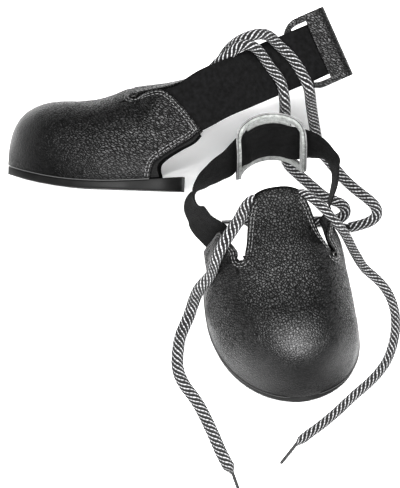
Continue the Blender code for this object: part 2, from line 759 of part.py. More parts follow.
def make_lining(cover, facts, side, frame):
    """The thin lining inside a wing, which shows past its lower edge and by the sole."""
    front_x = LINING_TOP[0]["x"]
    low = sole_top(front_x) + 2 * GAP
    edge = np.array([[front_x, z] for z in np.linspace(low, LINING_TOP[0]["z"], 7)])
    depth = LEATHER + LINING_GAP
    points = wing_sheet(side, facts, edge, LINING_TOP[1:], LINING_REAR, 8, depth)
    name = f"{cover}_{side}_lining"
    piece = add_piece(name, sheets_mesh(name, [(points, None)]), "lining", frame)
    thicken(piece, LINING)
    return piece


def pad_axes(pad):
    """Directions of the heel piece: back, to the outer side, and up its height."""
    back = Vector((math.cos(pad["rise"]), 0.0, math.sin(pad["rise"])))
    up = Vector((-math.sin(pad["rise"]), 0.0, math.cos(pad["rise"])))
    return back, Vector((0.0, 1.0, 0.0)), up


def pad_curve(pad):
    """The heel piece seen along its height: length along it, and (back, outwards) for each."""
    angles = np.radians(np.linspace(-90, 90, 121))
    arc = [pad["depth"] * (np.cos(angles) - 1), pad["half_width"] * np.sin(angles)]
    round_part = np.stack(arc, 1)
    leg = np.array([[-PAD_HALF_LENGTH, 0.0]])
    points = np.vstack([round_part[:1] + leg, round_part, round_part[-1:] + leg])
    gone = np.concatenate([[0.0], np.cumsum(np.linalg.norm(np.diff(points, axis=0), axis=1))])
    return gone - gone[-1] / 2, points


def pad_point(pad, along, off, up_by):
    """A point of the heel piece, off its middle surface by a distance to the outside."""
    lengths, points = pad_curve(pad)
    step = 0.0002
    here = np.array([np.interp(along, lengths, points[:, k]) for k in (0, 1)])
    after = np.array([np.interp(along + step, lengths, points[:, k]) for k in (0, 1)])
    before = np.array([np.interp(along - step, lengths, points[:, k]) for k in (0, 1)])
    run = (after - before) / np.linalg.norm(after - before)
    here = here + off * np.array([run[1], -run[0]])
    back, out, up = pad_axes(pad)
    return Vector(pad["at"]) + back * here[0] + out * here[1] + up * up_by


def make_pad(cover, facts, frame):
    """The heel piece: leather outside and felt inside, with two slits that the strap goes
    through."""
    half = [0.0, 0.002, 0.004, 0.006, 0.008, 0.0105, 0.014, PAD_SLIT["start"]]
    half += [PAD_SLIT["end"], 0.0325, 0.0350, 0.0370, 0.0380, PAD_HALF_LENGTH]
    lengths = [-length for length in half[:0:-1]] + half
    shares = [-1.0, -PAD_SLIT["share"], -0.38, 0.0, 0.38, PAD_SLIT["share"], 1.0]

    def is_kept(i, j):
        middle = abs(lengths[i] + lengths[i + 1]) / 2
        in_slit = PAD_SLIT["start"] < middle < PAD_SLIT["end"]
        return not (in_slit and 0 < j < len(shares) - 2)

    layers = (
        ("heel_leather", "leather", GAP / 2, PAD_LEATHER, True),
        ("heel_felt", "felt", -GAP / 2, PAD_FELT, False),
    )
    for part, slot, off, thickness, outwards in layers:
        points = []
        for along in lengths:
            past = max(0.0, (abs(along) - PAD_HALF_LENGTH + PAD_CORNER) / PAD_CORNER)
            tall = PAD_HALF_HEIGHT - PAD_CORNER * (1 - math.sqrt(max(0.0, 1 - past**2)))
            points.append([pad_point(facts["pad"], along, off, tall * s) for s in shares])
        name = f"{cover}_{part}"
        mesh = sheets_mesh(name, [(points, is_kept)])
        thicken(add_piece(name, mesh, slot, frame), thickness, outwards)


def strap_side(cover, facts, side):
    """The strap's middle and width direction on one side, from under the wing to the slit."""
    sign = SIDES[side]["sign"]
    rise = facts["strap_rise"]
    rows = []
    for along in (0.0, 0.009, 0.018):
        x = STRAP_START + along * math.cos(rise)
        z = facts["strap_start"][side] + along * math.sin(rise)
        ends = []
        for half in (-0.018, 0.018):
            place = (x - half * math.sin(rise), z + half * math.cos(rise))
            ends.append(wing_point(*place, side, facts, STRAP_UNDER_WING))
        rows.append([*((ends[0] + ends[1]) / 2), *(ends[1] - ends[0]).normalized()])
    for row in STRAPS[cover][side]:
        width = Vector((row["back"], sign * row["out"], 1.0)).normalized()
        rows.append([row["x"], sign * row["y"], row["z"], *width])
    return rows


def strap_in_pad(facts):
    """The strap's rows at the heel piece: inside its back, and outside past each slit."""
    inside = -(GAP / 2 + PAD_FELT + GAP + STRAP_THICKNESS / 2)
    half = [(along, inside) for along in (0.002, 0.004, 0.007, 0.010, 0.0135, 0.0165)]
    half.append(((PAD_SLIT["start"] + PAD_SLIT["end"]) / 2, -GAP))
    half += facts["pad"]["strap_past_slit"]
    steps = [(-along, off) for along, off in half[::-1]] + [(0.0, inside)] + half
    up = pad_axes(facts["pad"])[2]
    return [[*pad_point(facts["pad"], along, off, 0.0), *up] for along, off in steps]


def make_strap(cover, facts, frame):
    """The elastic from one wing through the heel piece to the other wing."""
    rows = strap_side(cover, facts, "inner")
    rows += strap_in_pad(facts)
    rows += strap_side(cover, facts, "outer")[::-1]
    route = smooth_rows(rows, 0.0035)
    wide, thick = STRAP_WIDTH / 2, STRAP_THICKNESS / 2
    section = [(-wide, -thick), (wide, -thick), (wide, thick), (-wide, thick)]
    mesh = ring_mesh(f"{cover}_strap", band_rings(route, section))
    return add_piece(f"{cover}_strap", mesh, "elastic", frame)


def make_lace(name, route):
    """One end of a lace: a tube along its route."""
    length = sum(math.dist(a, b) for a, b in zip(route[:-1], route[1:], strict=True))
    points = smooth_route(route, math.ceil(length / LACE_STEP))
    points[:, 2] = np.maximum(points[:, 2], LACE_RADIUS)
    curve = bpy.data.curves.new(name, "CURVE")
    curve.dimensions = "3D"
    curve.bevel_depth = LACE_RADIUS
    curve.bevel_resolution = 2
    curve.use_fill_caps = True
    line = curve.splines.new("POLY")
    line.points.add(len(points) - 1)
    for place, point in zip(line.points, points, strict=True):
        place.co = (*point, 1.0)
    curve.materials.append(material("lace"))
    tube = bpy.data.objects.new(name, curve)
    bpy.data.collections["shoe_covers"].objects.link(tube)
    return points[-1]


def make_aglet(name, start, tip):
    """The tip of a lace: a thin rod that goes on from the lace's end."""
    start, tip = Vector(start), Vector(tip)
    along = (tip - start).normalized()
    start = start + along * GAP
    bpy.ops.mesh.primitive_cylinder_add(
        vertices=12, radius=AGLET_RADIUS, depth=(tip - start).length, location=(start + tip) / 2
    )
    rod = bpy.context.object
    rod.name = name
    rod.rotation_euler = along.to_track_quat("Z", "Y").to_euler()
    rod.data.materials.append(material("aglet"))
    rod.data.shade_smooth()
    rod.data.set_sharp_from_angle(angle=math.radians(40))
    for holder in list(rod.users_collection):
        holder.objects.unlink(rod)
    bpy.data.collections["shoe_covers"].objects.link(rod)


def make_frame(cover, facts):
    """The empty that carries one cover's pieces and lays it down."""
    frame = bpy.data.objects.new(f"{cover}_frame", None)
    bpy.data.collections["shoe_covers"].objects.link(frame)
    frame.location = facts["place"]
    frame.rotation_euler = (-facts["tip"], 0.0, facts["turn"])
    frame.scale = (1.0, -1.0 if facts["mirrored"] else 1.0, 1.0)
    return frame


def main():
    for old in list(bpy.data.objects):
        bpy.data.objects.remove(old)
    collection = bpy.data.collections.new("shoe_covers")
    bpy.context.scene.collection.children.link(collection)
    for cover, facts in COVERS.items():
        frame = make_frame(cover, facts)
        make_sole(cover, frame)
        make_vamp(cover, facts, frame)
        make_toe_cap(cover, frame)
        for side in SIDES:
            make_lining(cover, facts, side, frame)
        make_pad(cover, facts, frame)
        make_strap(cover, facts, frame)
    for name, route in LACE_ROUTES.items():
        end = make_lace(name, route)
        if name in AGLET_TIPS:
            make_aglet(f"{name}_aglet", end, AGLET_TIPS[name])
    bpy.context.view_layer.update()


main()
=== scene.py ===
"""Looks of a pair of leather safety shoe covers: grained leather, rubber half soles, ribbed elastic
straps, felt-lined heel pieces and striped laces.

Each cover is shaped in its own frame, where x runs back from the toe, y to the outer side of the
foot and z up from the sole, and is then laid down in the scene. All lengths are in metres.
"""

import math
import random

import bmesh
import bpy
import numpy as np
from mathutils import Euler, Matrix, Vector, noise
from mathutils.bvhtree import BVHTree
from mathutils.kdtree import KDTree


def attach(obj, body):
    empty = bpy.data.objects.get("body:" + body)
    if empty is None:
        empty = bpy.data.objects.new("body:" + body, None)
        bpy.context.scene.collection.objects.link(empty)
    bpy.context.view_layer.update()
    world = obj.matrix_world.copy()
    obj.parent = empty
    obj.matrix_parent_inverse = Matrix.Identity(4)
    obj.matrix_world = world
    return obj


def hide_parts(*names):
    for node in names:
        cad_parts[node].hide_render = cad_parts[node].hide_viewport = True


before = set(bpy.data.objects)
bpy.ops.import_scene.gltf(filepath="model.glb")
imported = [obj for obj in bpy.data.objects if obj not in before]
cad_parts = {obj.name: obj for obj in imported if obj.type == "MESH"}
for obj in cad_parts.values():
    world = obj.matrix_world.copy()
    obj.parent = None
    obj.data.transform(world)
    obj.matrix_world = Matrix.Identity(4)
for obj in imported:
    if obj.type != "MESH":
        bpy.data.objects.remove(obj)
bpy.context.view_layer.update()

GAP = 0.0004  # between pieces that are sewn or glued together

# Sole
SOLE_LENGTH = 0.130
SIDES = {  # half width, and the length and squareness of the rounded front
    "outer": {"sign": 1, "half": 0.0585, "nose": 0.080, "power": 1.9, "taper": 0.005},
    "inner": {"sign": -1, "half": 0.0500, "nose": 0.058, "power": 2.1, "taper": 0.004},
}
REAR_CORNER = 0.016
TOE_SPRING = 0.009
SPRING_LENGTH = 0.062
SOLE_THICKNESS = 0.0062
HEEL_THICKNESS = 0.0108
THICKER_FROM = 0.070
SOLE_INSET = 0.0008
SOLE_BEVEL = 0.0015
SOLE_EDGE = 0.0004  # how far its upper edges are cut
BEAD_END = 0.106  # of the fine bead between the upper and the sole
BEAD_RADIUS = 0.00042

# Leather upper
LEATHER = 0.0018
AXIS_Y = -0.002  # the top line and the tongue lie a little to the inner side
TOP_START = 0.050  # where the arcs of the front all meet
SLIT_START = 0.094
SLIT_ROUND = 0.005  # depth of the slit's rounded bottom
SLIT_EASING = 5  # arcs beside the slit's bottom that give way to it
SLIT_ANGLES = {"outer": 60.5, "inner": 46.0}  # up the side of the dome, in degrees
SLIT_HALF_ANGLE = 4.0
SIDE_POWER = 2.5  # of the dome's arcs at the sides
FRONT_POWER = 2.75
TONGUE_END = 0.135
TONGUE_ARCH = 0.0025
TONGUE_ROUND = 0.0028  # how far the corners of the tongue's end fall back
TONGUE_ROWS = 30
HEM_RADIUS = 0.0048
HEM_FLAP = 0.0080
HEM_CLOSING = 0.004
WALL_FROM = 0.112  # where a wing has become a steeper wall than the dome's side
WALL_RISE = 0.020  # of the arc that the wall follows above the top line
HINGE_X = 0.098  # where the wings begin to hang down, and the height that they hang about
HINGE_Z = 0.060
FLARE_FROM = 0.110
FLARE_TO = 0.140
SLIT_SHARES = [-1.0, -0.93, -0.8, -0.62, -0.4, -0.2, 0.0, 0.2, 0.4, 0.62, 0.8, 0.93, 1.0]
LOW_SHARES = np.linspace(0, 1, 27)[:-1]  # of the arc below the slit, and of the arc above it
HIGH_SHARES = np.linspace(0, 1, 15)[1:]
SLIT_LOW = len(LOW_SHARES)
SLIT_HIGH = SLIT_LOW + len(SLIT_SHARES) - 1

# Strap, wing lining and heel piece
LINING = 0.0009
LINING_GAP = 0.0008
STRAP_WIDTH = 0.040
STRAP_THICKNESS = 0.0015
STRAP_START = 0.1155
STRAP_UNDER_WING = 0.0058  # from the leather's outside to the middle of the strap
PAD_HALF_LENGTH = 0.0385
PAD_HALF_HEIGHT = 0.0275
PAD_CORNER = 0.015
PAD_LEATHER = 0.0013
PAD_FELT = 0.0019
PAD_SLIT = {"start": 0.0175, "end": 0.0300, "share": 0.83}

# Top line of the vamp and the tongue, seen from the side: x and z
RIDGE = [
    (0.050, 0.0645), (0.066, 0.0668), (0.076, 0.0700), (0.085, 0.0738), (0.095, 0.0770),
    (0.105, 0.0786), (0.115, 0.0800), (0.125, 0.0825), (0.135, 0.0860), (0.150, 0.0915),
]

# Sides of the tongue behind the slits: x, and y on the outer and the inner side
TONGUE_EDGES = [
    (0.0985, 0.0272, -0.0322), (0.103, 0.0260, -0.0296), (0.110, 0.0246, -0.0268),
    (0.118, 0.0229, -0.0248), (0.125, 0.0212, -0.0232), (0.131, 0.0188, -0.0208),
    (0.135, 0.0150, -0.0170),
]

# Edges of a wing seen from the side: from the slit over the top to the tip, and from the sole up
# the rear edge to the tip
WING_TOP = [
    (0.103, 0.0726), (0.112, 0.0748), (0.119, 0.0715), (0.127, 0.0640), (0.136, 0.0540),
    (0.142, 0.0460),
]
WING_REAR = [
    (0.1070, 0.0090), (0.1075, 0.0150), (0.1092, 0.0205), (0.1140, 0.0248), (0.1270, 0.0338),
    (0.1370, 0.0405), (0.1420, 0.0460),
]
LINING_TOP = [
    (0.100, 0.0560), (0.106, 0.0670), (0.112, 0.0700), (0.118, 0.0675), (0.126, 0.0600),
    (0.135, 0.0505), (0.1412, 0.0425),
]
LINING_REAR = [
    (0.1135, 0.0105), (0.1120, 0.0160), (0.1125, 0.0195), (0.1155, 0.0228), (0.1282, 0.0318),
    (0.1382, 0.0385), (0.1412, 0.0425),
]

# The free stretches of each strap, from the wing to the heel piece: x, y and z of the band's
# middle, and how far its upper edge leans back and to the side it is on, for each unit of height
STRAPS = {
    "right": {
        "outer": [
            (0.1405, 0.0555, 0.0560, -0.32, -0.24), (0.1492, 0.0590, 0.0625, -0.37, -0.20),
            (0.1545, 0.0570, 0.0680, -0.35, -0.08), (0.1597, 0.0500, 0.0735, -0.28, 0.04),
            (0.1636, 0.0405, 0.0785, -0.20, 0.10), (0.1668, 0.0315, 0.0825, -0.10, 0.08),
        ],
        "inner": [
            (0.1400, 0.0415, 0.0560, -0.40, 0.04), (0.1500, 0.0460, 0.0610, -0.46, 0.08),
            (0.1595, 0.0482, 0.0665, -0.45, 0.02), (0.1655, 0.0460, 0.0725, -0.38, -0.05),
            (0.1690, 0.0400, 0.0780, -0.26, -0.04), (0.1720, 0.0325, 0.0825, -0.10, 0.00),
        ],
    },
    "left": {
        "outer": [
            (0.1500, 0.0350, 0.0724, -0.48, 0.00), (0.1680, 0.0200, 0.0811, -0.48, 0.00),
            (0.1860, 0.0020, 0.0899, -0.48, 0.00), (0.2010, -0.0120, 0.0972, -0.48, 0.00),
        ],
        "inner": [
            (0.1500, 0.0350, 0.0740, -0.48, 0.00), (0.1680, 0.0342, 0.0827, -0.48, 0.00),
            (0.1860, 0.0338, 0.0914, -0.48, 0.00), (0.2010, 0.0335, 0.0982, -0.48, 0.00),
        ],
    },
}

# How each cover lies, how its wings hang, and the shape and place of its heel piece: the middle of
# its back, its rise towards the back, and the half width and depth of its round
COVERS = {
    "right": {
        "place": (0.0874, -0.1470, 0.0),
        "turn": math.radians(98.4),
        "tip": 0.0,
        "mirrored": False,
        "droop": math.radians(28),
        "flare": {"outer": 0.003, "inner": 0.0},
        "strap_start": {"outer": 0.0495, "inner": 0.0495},
        "strap_rise": math.radians(34),
        "strap_past_slit": [],
        "pad": {"at": (0.1850, -0.0015, 0.0860), "rise": 0.0, "half_width": 0.0245, "depth": 0.020},
    },
    "left": {
        "place": (-0.1297, 0.0246, 0.0394),
        "turn": math.radians(-2.3),
        "tip": math.radians(55.0),
        "mirrored": True,
        "droop": 0.0,
        "flare": {"outer": 0.003, "inner": 0.0},
        "strap_start": {"outer": 0.0555, "inner": 0.0570},
        "strap_rise": math.radians(25.8),
        "strap_past_slit": [(0.0300, 0.0028), (0.0345, 0.0030)],
        "pad": {
            "at": (0.2390, -0.0250, 0.1155),
            "rise": math.radians(25.8),
            "half_width": 0.0050,
            "depth": 0.005,
        },
    },
}

# Laces: each hem holds the middle of one lace, whose two ends are a cord each. Their routes are
# listed, from the middle of the tunnel out of its mouth and down to the floor.
LACES = {  # width and thickness of the braid, length of the cord, and how it ends
    "right_lace_outer": {"width": 0.0090, "thick": 0.0028, "length": 0.286, "end": "fitting"},
    "right_lace_inner": {"width": 0.0070, "thick": 0.0042, "length": 0.311, "end": "fitting"},
    "left_lace_outer": {"width": 0.0082, "thick": 0.0040, "length": 0.354, "end": "fitting"},
    "left_lace_inner": {"width": 0.0082, "thick": 0.0040, "length": 0.340, "end": "bare"},
}
LACE_ROUTES = {
    "right_lace_outer": [
        (0.0687, -0.0117, 0.0815), (0.0620, -0.0127, 0.0813), (0.0546, -0.0138, 0.0790),
        (0.0485, -0.0170, 0.0778), (0.0445, -0.0245, 0.0773), (0.0410, -0.0332, 0.0774),
        (0.0358, -0.0420, 0.0775), (0.0310, -0.0492, 0.0758), (0.0267, -0.0545, 0.0690),
        (0.0232, -0.0583, 0.0610), (0.0200, -0.0605, 0.0525), (0.0169, -0.0618, 0.0440),
        (0.0119, -0.0629, 0.0330), (0.0085, -0.0632, 0.0200), (0.0057, -0.0650, 0.0080),
        (0.0031, -0.0700, 0.0030), (-0.0005, -0.0786, 0.0023), (-0.0038, -0.0976, 0.0023),
        (-0.0035, -0.1148, 0.0023), (0.0010, -0.1268, 0.0023), (0.0090, -0.1392, 0.0023),
        (0.0162, -0.1546, 0.0023), (0.0221, -0.1699, 0.0023), (0.0290, -0.1889, 0.0023),
        (0.0362, -0.2043, 0.0023),
    ],
    "right_lace_inner": [
        (0.0696, -0.0116, 0.0815), (0.0768, -0.0106, 0.0813), (0.0843, -0.0094, 0.0790),
        (0.0907, -0.0102, 0.0785), (0.0965, -0.0150, 0.0777), (0.1012, -0.0193, 0.0765),
        (0.1055, -0.0232, 0.0752), (0.1090, -0.0264, 0.0730), (0.1127, -0.0288, 0.0690),
        (0.1165, -0.0293, 0.0610), (0.1205, -0.0283, 0.0485), (0.1249, -0.0270, 0.0320),
        (0.1295, -0.0258, 0.0170), (0.1337, -0.0256, 0.0060), (0.1381, -0.0278, 0.0025),
        (0.1430, -0.0328, 0.0023), (0.1495, -0.0418, 0.0023), (0.1550, -0.0567, 0.0023),
        (0.1565, -0.0728, 0.0023), (0.1541, -0.0913, 0.0023), (0.1485, -0.1082, 0.0023),
        (0.1387, -0.1226, 0.0023), (0.1252, -0.1366, 0.0023), (0.1122, -0.1512, 0.0023),
        (0.0995, -0.1638, 0.0023), (0.0897, -0.1722, 0.0023), (0.0822, -0.1799, 0.0023),
    ],
    "left_lace_outer": [
        (0.0095, 0.0865, 0.0851), (0.0094, 0.0822, 0.0903), (0.0092, 0.0763, 0.0954),
        (0.0090, 0.0727, 0.0988), (0.0108, 0.0702, 0.1036), (0.0168, 0.0741, 0.1068),
        (0.0239, 0.0847, 0.1077), (0.0307, 0.0920, 0.1102), (0.0374, 0.0968, 0.1129),
        (0.0443, 0.0999, 0.1139), (0.0509, 0.1011, 0.1112), (0.0565, 0.0999, 0.1054),
        (0.0609, 0.0976, 0.0994), (0.0664, 0.0924, 0.0936), (0.0711, 0.0871, 0.0898),
        (0.0745, 0.0791, 0.0856), (0.0754, 0.0743, 0.0774), (0.0753, 0.0731, 0.0654),
        (0.0751, 0.0733, 0.0484), (0.0751, 0.0735, 0.0284), (0.0757, 0.0733, 0.0119),
        (0.0773, 0.0704, 0.0045), (0.0808, 0.0675, 0.0023), (0.0875, 0.0600, 0.0023),
        (0.0987, 0.0482, 0.0023), (0.1060, 0.0404, 0.0023), (0.1122, 0.0378, 0.0023),
        (0.1183, 0.0357, 0.0023), (0.1217, 0.0300, 0.0023), (0.1195, 0.0233, 0.0023),
        (0.1115, 0.0198, 0.0023), (0.0940, 0.0188, 0.0023), (0.0718, 0.0188, 0.0023),
        (0.0532, 0.0190, 0.0023), (0.0425, 0.0190, 0.0023),
    ],
    "left_lace_inner": [
        (0.0097, 0.0874, 0.0838), (0.0098, 0.0908, 0.0780), (0.0099, 0.0935, 0.0708),
        (0.0103, 0.0954, 0.0664), (0.0137, 0.0979, 0.0624), (0.0195, 0.1013, 0.0621),
        (0.0246, 0.1047, 0.0684), (0.0274, 0.1065, 0.0790), (0.0307, 0.1064, 0.0913),
        (0.0357, 0.1057, 0.1029), (0.0421, 0.1055, 0.1114), (0.0497, 0.1069, 0.1149),
        (0.0578, 0.1111, 0.1119), (0.0639, 0.1136, 0.1059), (0.0685, 0.1133, 0.0994),
        (0.0725, 0.1116, 0.0954), (0.0780, 0.1089, 0.0911), (0.0825, 0.1051, 0.0876),
        (0.0859, 0.1011, 0.0842), (0.0887, 0.0961, 0.0811), (0.0918, 0.0906, 0.0787),
        (0.0937, 0.0877, 0.0704), (0.0946, 0.0886, 0.0564), (0.0963, 0.0894, 0.0384),
        (0.0983, 0.0886, 0.0204), (0.1005, 0.0855, 0.0080), (0.1037, 0.0815, 0.0025),
        (0.1088, 0.0742, 0.0023), (0.1193, 0.0585, 0.0023), (0.1305, 0.0458, 0.0023),
        (0.1405, 0.0365, 0.0023), (0.1450, 0.0290, 0.0023), (0.1425, 0.0212, 0.0023),
        (0.1335, 0.0165, 0.0023), (0.1236, 0.0135, 0.0023),
    ],
}
LACE_STEP = 0.0018
LACE_SIDES = 24
LACE_IN_HEM = (0.0026, 0.0017)  # its half width and half thickness there, and at a fitted tip
LACE_AT_TIP = (0.0013, 0.0011)
TUNNEL = 0.016  # length of a lace that is inside the hem
LOWEST = 0.0001  # that a lace reaches
FRAY_THREADS = 46
FRAY_RADIUS = 0.00032

# Stitches
STITCH = 0.0027
STITCH_ROWS = (0.0021, 0.0043)
STITCH_GAP = 0.004  # where a row of stitches ends
THREAD = 0.00034
EDGE_REACH = 0.009  # farther than this from a cut edge, the leather doesn't show it

# Patterns of the finishes
GRAIN = 670.0  # pebbles in a metre
GRAIN_WAYS = [(0.38, 0.0, -0.18), (0.0, 0.72, 0.0), (0.44, 0.0, 0.94)]  # longest back and down
PEBBLE_PROFILE = [(0.0, 0.0), (0.06, 0.30), (0.18, 0.75), (0.42, 1.0)]  # from its edge inwards
EDGE_PROFILE = [  # height of the leather by the distance from a cut edge, in shares of 8 mm
    (0.0, 0.1), (0.07, 0.8), (0.13, 0.9), (0.20, 0.6), (0.26, 0.25),
    (0.33, 0.5), (0.48, 0.5), (0.54, 0.25), (0.60, 0.5), (1.0, 0.5),
]
STRIPE = 0.0044  # length of one stripe of a lace
RIB = 0.0009
WEFT = 0.0007

# Picture
CAMERA_ELEVATION = math.radians(55)
CAMERA_DISTANCE = 6.0
FRAME_HEIGHT = 0.3615  # of what the photo shows at the pair's middle
SENSOR = 0.024
LOOK_AT = Vector((0.0125, 0.0, 0.0))
TO_CAMERA = Vector((0.0, -math.cos(CAMERA_ELEVATION), math.sin(CAMERA_ELEVATION)))
UP = Vector((0.0, 0.0, 1.0))
FLOOR_SIZE = 12.0
FLOOR_Z = -0.0002


# Curves


def ease(share):
    """0 to 1 with a level start and end."""
    share = min(max(share, 0.0), 1.0)
    return share * share * (3 - 2 * share)


def gone_along(points):
    """How far along a line each of its points is."""
    return np.concatenate([[0.0], np.cumsum(np.linalg.norm(np.diff(points, axis=0), axis=1))])


def at_length_1(rows):
    return rows / np.linalg.norm(rows, axis=1)[:, None]


def square_to(rows, along):
    """Directions without their part along a line."""
    return at_length_1(rows - along * (rows * along).sum(1)[:, None])


def curve_through(keys, values):
    """Slopes for a smooth curve through values at rising keys."""
    steps = np.diff(keys)[:, None]
    rates = np.diff(values, axis=0) / steps
    inner = (rates[:-1] * steps[1:] + rates[1:] * steps[:-1]) / (steps[:-1] + steps[1:])
    return np.vstack([rates[:1], inner, rates[-1:]])


def read_curve(keys, values, slopes, key):
    """The smooth curve's value at one key. Past its ends it goes on straight."""
    if key <= keys[0]:
        return values[0] + slopes[0] * (key - keys[0])
    if key >= keys[-1]:
        return values[-1] + slopes[-1] * (key - keys[-1])
    k = int(np.searchsorted(keys, key, side="right")) - 1
    step = keys[k + 1] - keys[k]
    t = (key - keys[k]) / step
    value = (1 + 2 * t) * (1 - t) ** 2 * values[k] + t * t * (3 - 2 * t) * values[k + 1]
    return value + t * (1 - t) ** 2 * step * slopes[k] + t * t * (t - 1) * step * slopes[k + 1]


def column_at(rows, column, x):
    """A column of a table at x, its first column, on a smooth curve through its rows."""
    table = np.array(rows)
    keys, values = table[:, 0], table[:, [column]]
    return float(read_curve(keys, values, curve_through(keys, values), x)[0])


def evenly(points, count):
    """Rows spaced evenly along a line, whose first 3 columns are x, y and z."""
    gone = gone_along(points[:, :3])
    at = np.linspace(0, gone[-1], count)
    return np.stack([np.interp(at, gone, column) for column in points.T], 1)


def even_rows(points, step):
    points = np.array([tuple(p) for p in points])
    return evenly(points, math.ceil(gone_along(points)[-1] / step) + 1)


def smooth_route(points, count):
    """Rows spaced evenly on a smooth curve through points."""
    points = np.asarray(points, float)
    keys = gone_along(points[:, :3])
    slopes = curve_through(keys, points)
    fine = np.linspace(0, keys[-1], 8 * count)
    return evenly(np.array([read_curve(keys, points, slopes, key) for key in fine]), count)


def smooth_rows(points, longest):
    """A smooth curve through rows, cut between each two rows into steps that aren't too long."""
    points = np.asarray(points, float)
    keys = gone_along(points[:, :3])
    slopes = curve_through(keys, points)
    at = [0.0]
    for start, gap in zip(keys[:-1], np.diff(keys), strict=True):
        count = math.ceil(gap / longest)
        at += [start + gap * (n + 1) / count for n in range(count)]
    return np.array([read_curve(keys, points, slopes, key) for key in at])


def band_rings(route, section):
    """Sections along a route. Its columns are x, y, z and the direction of the band's width."""
    middles = route[:, :3]
    along = at_length_1(np.gradient(middles, axis=0))
    widths = square_to(route[:, 3:6], along)
    rows = zip(middles, widths, np.cross(along, widths), strict=True)
    return [[middle + width * a + face * b for a, b in section] for middle, width, face in rows]


def blurred(rows, times):
    for _ in range(times):
        rows[1:-1] = (rows[:-2] + 2 * rows[1:-1] + rows[2:]) / 4
    return rows


def circle(middle, side, up, radius, count):
    """Points round a middle, from one direction to another that is square to it."""
    angles = np.linspace(0, 2 * math.pi, count + 1)[:-1]
    return [middle + (side * math.cos(a) + up * math.sin(a)) * radius for a in angles]


# Shapes that the solids have too


def half_width(x, side):
    """Half width of the outline at x. Its front is a rounded nose, and it tapers behind that."""
    facts = SIDES[side]
    nose = facts["nose"]
    if x < nose:
        share = (nose - x) / nose
        return facts["half"] * (1 - share ** facts["power"]) ** (1 / facts["power"])
    return facts["half"] - facts["taper"] * ((x - nose) / (SOLE_LENGTH - nose)) ** 2


def sole_bottom(x):
    return TOE_SPRING * max(0.0, (SPRING_LENGTH - x) / SPRING_LENGTH) ** 2


def sole_top(x):
    behind = max(0.0, (x - THICKER_FROM) / (SOLE_LENGTH - THICKER_FROM))
    thicker = (HEEL_THICKNESS - SOLE_THICKNESS) * behind**1.4
    return sole_bottom(x) + SOLE_THICKNESS + thicker


def ridge(x):
    return column_at(RIDGE, 1, x)


def dome_feet(shares, backs):
    """Places on the outline, from the outer side round the toe to the inner side: x, y, how far
    round they are from the outer side (0) to the inner one (1), and how far to the front."""
    rows = [(x, 0.0) for x in backs] + [(TOP_START * share**2, 1 - share) for share in shares]
    outer = [(x, half_width(x, "outer"), front / 2, front) for x, front in rows]
    return outer + [(x, -half_width(x, "inner"), 1 - front / 2, front) for x, front in rows[-2::-1]]


def dome_arc(foot, angles):
    """Points from a place on the outline up to the top line, which the front arcs all meet at one
    point."""
    x, y, _, frontness = foot
    top_x = max(x, TOP_START)
    low = sole_top(x) + GAP
    high = ridge(top_x)
    power = SIDE_POWER + (FRONT_POWER - SIDE_POWER) * frontness
    points = []
    for angle in np.radians(angles):
        across = max(math.cos(angle), 0.0) ** (2 / power)
        up = math.sin(angle) ** (2 / power)
        place = (top_x + (x - top_x) * across, AXIS_Y + (y - AXIS_Y) * across)
        points.append(Vector((*place, low + (high - low) * up)))
    return points


def wing_y(x, z, side, flare):
    """Distance of a wing from the middle plane: the dome's flank at the slit, and behind it a
    steeper wall that flares at its tip."""
    upright = ease((x - SLIT_START) / (WALL_FROM - SLIT_START))
    low = sole_top(SLIT_START) + GAP
    high = ridge(SLIT_START) + WALL_RISE * upright
    share = min(max((z - low) / (high - low), 0.0), 1.0)
    axis = AXIS_Y * SIDES[side]["sign"]
    across = (1 - share**SIDE_POWER) ** (1 / SIDE_POWER)
    half = half_width(min(x, SOLE_LENGTH), side)
    half += flare * max(0.0, (x - FLARE_FROM) / (FLARE_TO - FLARE_FROM)) ** 1.5
    return axis + (half - axis) * across


def wing_point(x, z, side, facts, depth=0.0):
    """A point of a wing, moved in by a depth and then hung as the cover's wings hang."""
    flare = facts["flare"][side]
    step = 0.0005
    y = wing_y(x, z, side, flare)
    slope_x = (wing_y(x + step, z, side, flare) - wing_y(x - step, z, side, flare)) / (2 * step)
    slope_z = (wing_y(x, z + step, side, flare) - wing_y(x, z - step, side, flare)) / (2 * step)
    outward = Vector((-slope_x, 1.0, -slope_z)).normalized()
    if x <= SLIT_START:
        outward.x = 0.0
    point = Vector((x, y, z)) - outward * depth
    point.y *= SIDES[side]["sign"]
    hang = facts["droop"] * ease((point.x - HINGE_X) / 0.030) * ease((point.z - 0.010) / 0.025)
    back, up = point.x - HINGE_X, point.z - HINGE_Z
    point.x = HINGE_X + back * math.cos(hang) + up * math.sin(hang)
    point.z = HINGE_Z + up * math.cos(hang) - back * math.sin(hang)
    return point


def side_curve(rows, count):
    """Evenly spaced (x, z) places on a smooth curve through a table's rows."""
    return smooth_route([(x, 0.0, z) for x, z in rows], count)[:, [0, 2]]


def fill_between(bottom, top, front, rear):
    """A grid of places between four edges, which meet at its corners."""
    u = np.linspace(0, 1, len(bottom))[:, None, None]
    v = np.linspace(0, 1, len(front))[:, None]
    corners = (1 - u) * ((1 - v) * bottom[0] + v * top[0]) + u * ((1 - v) * bottom[-1] + v * top[-1])
    return (1 - v) * bottom[:, None] + v * top[:, None] + (1 - u) * front + u * rear - corners


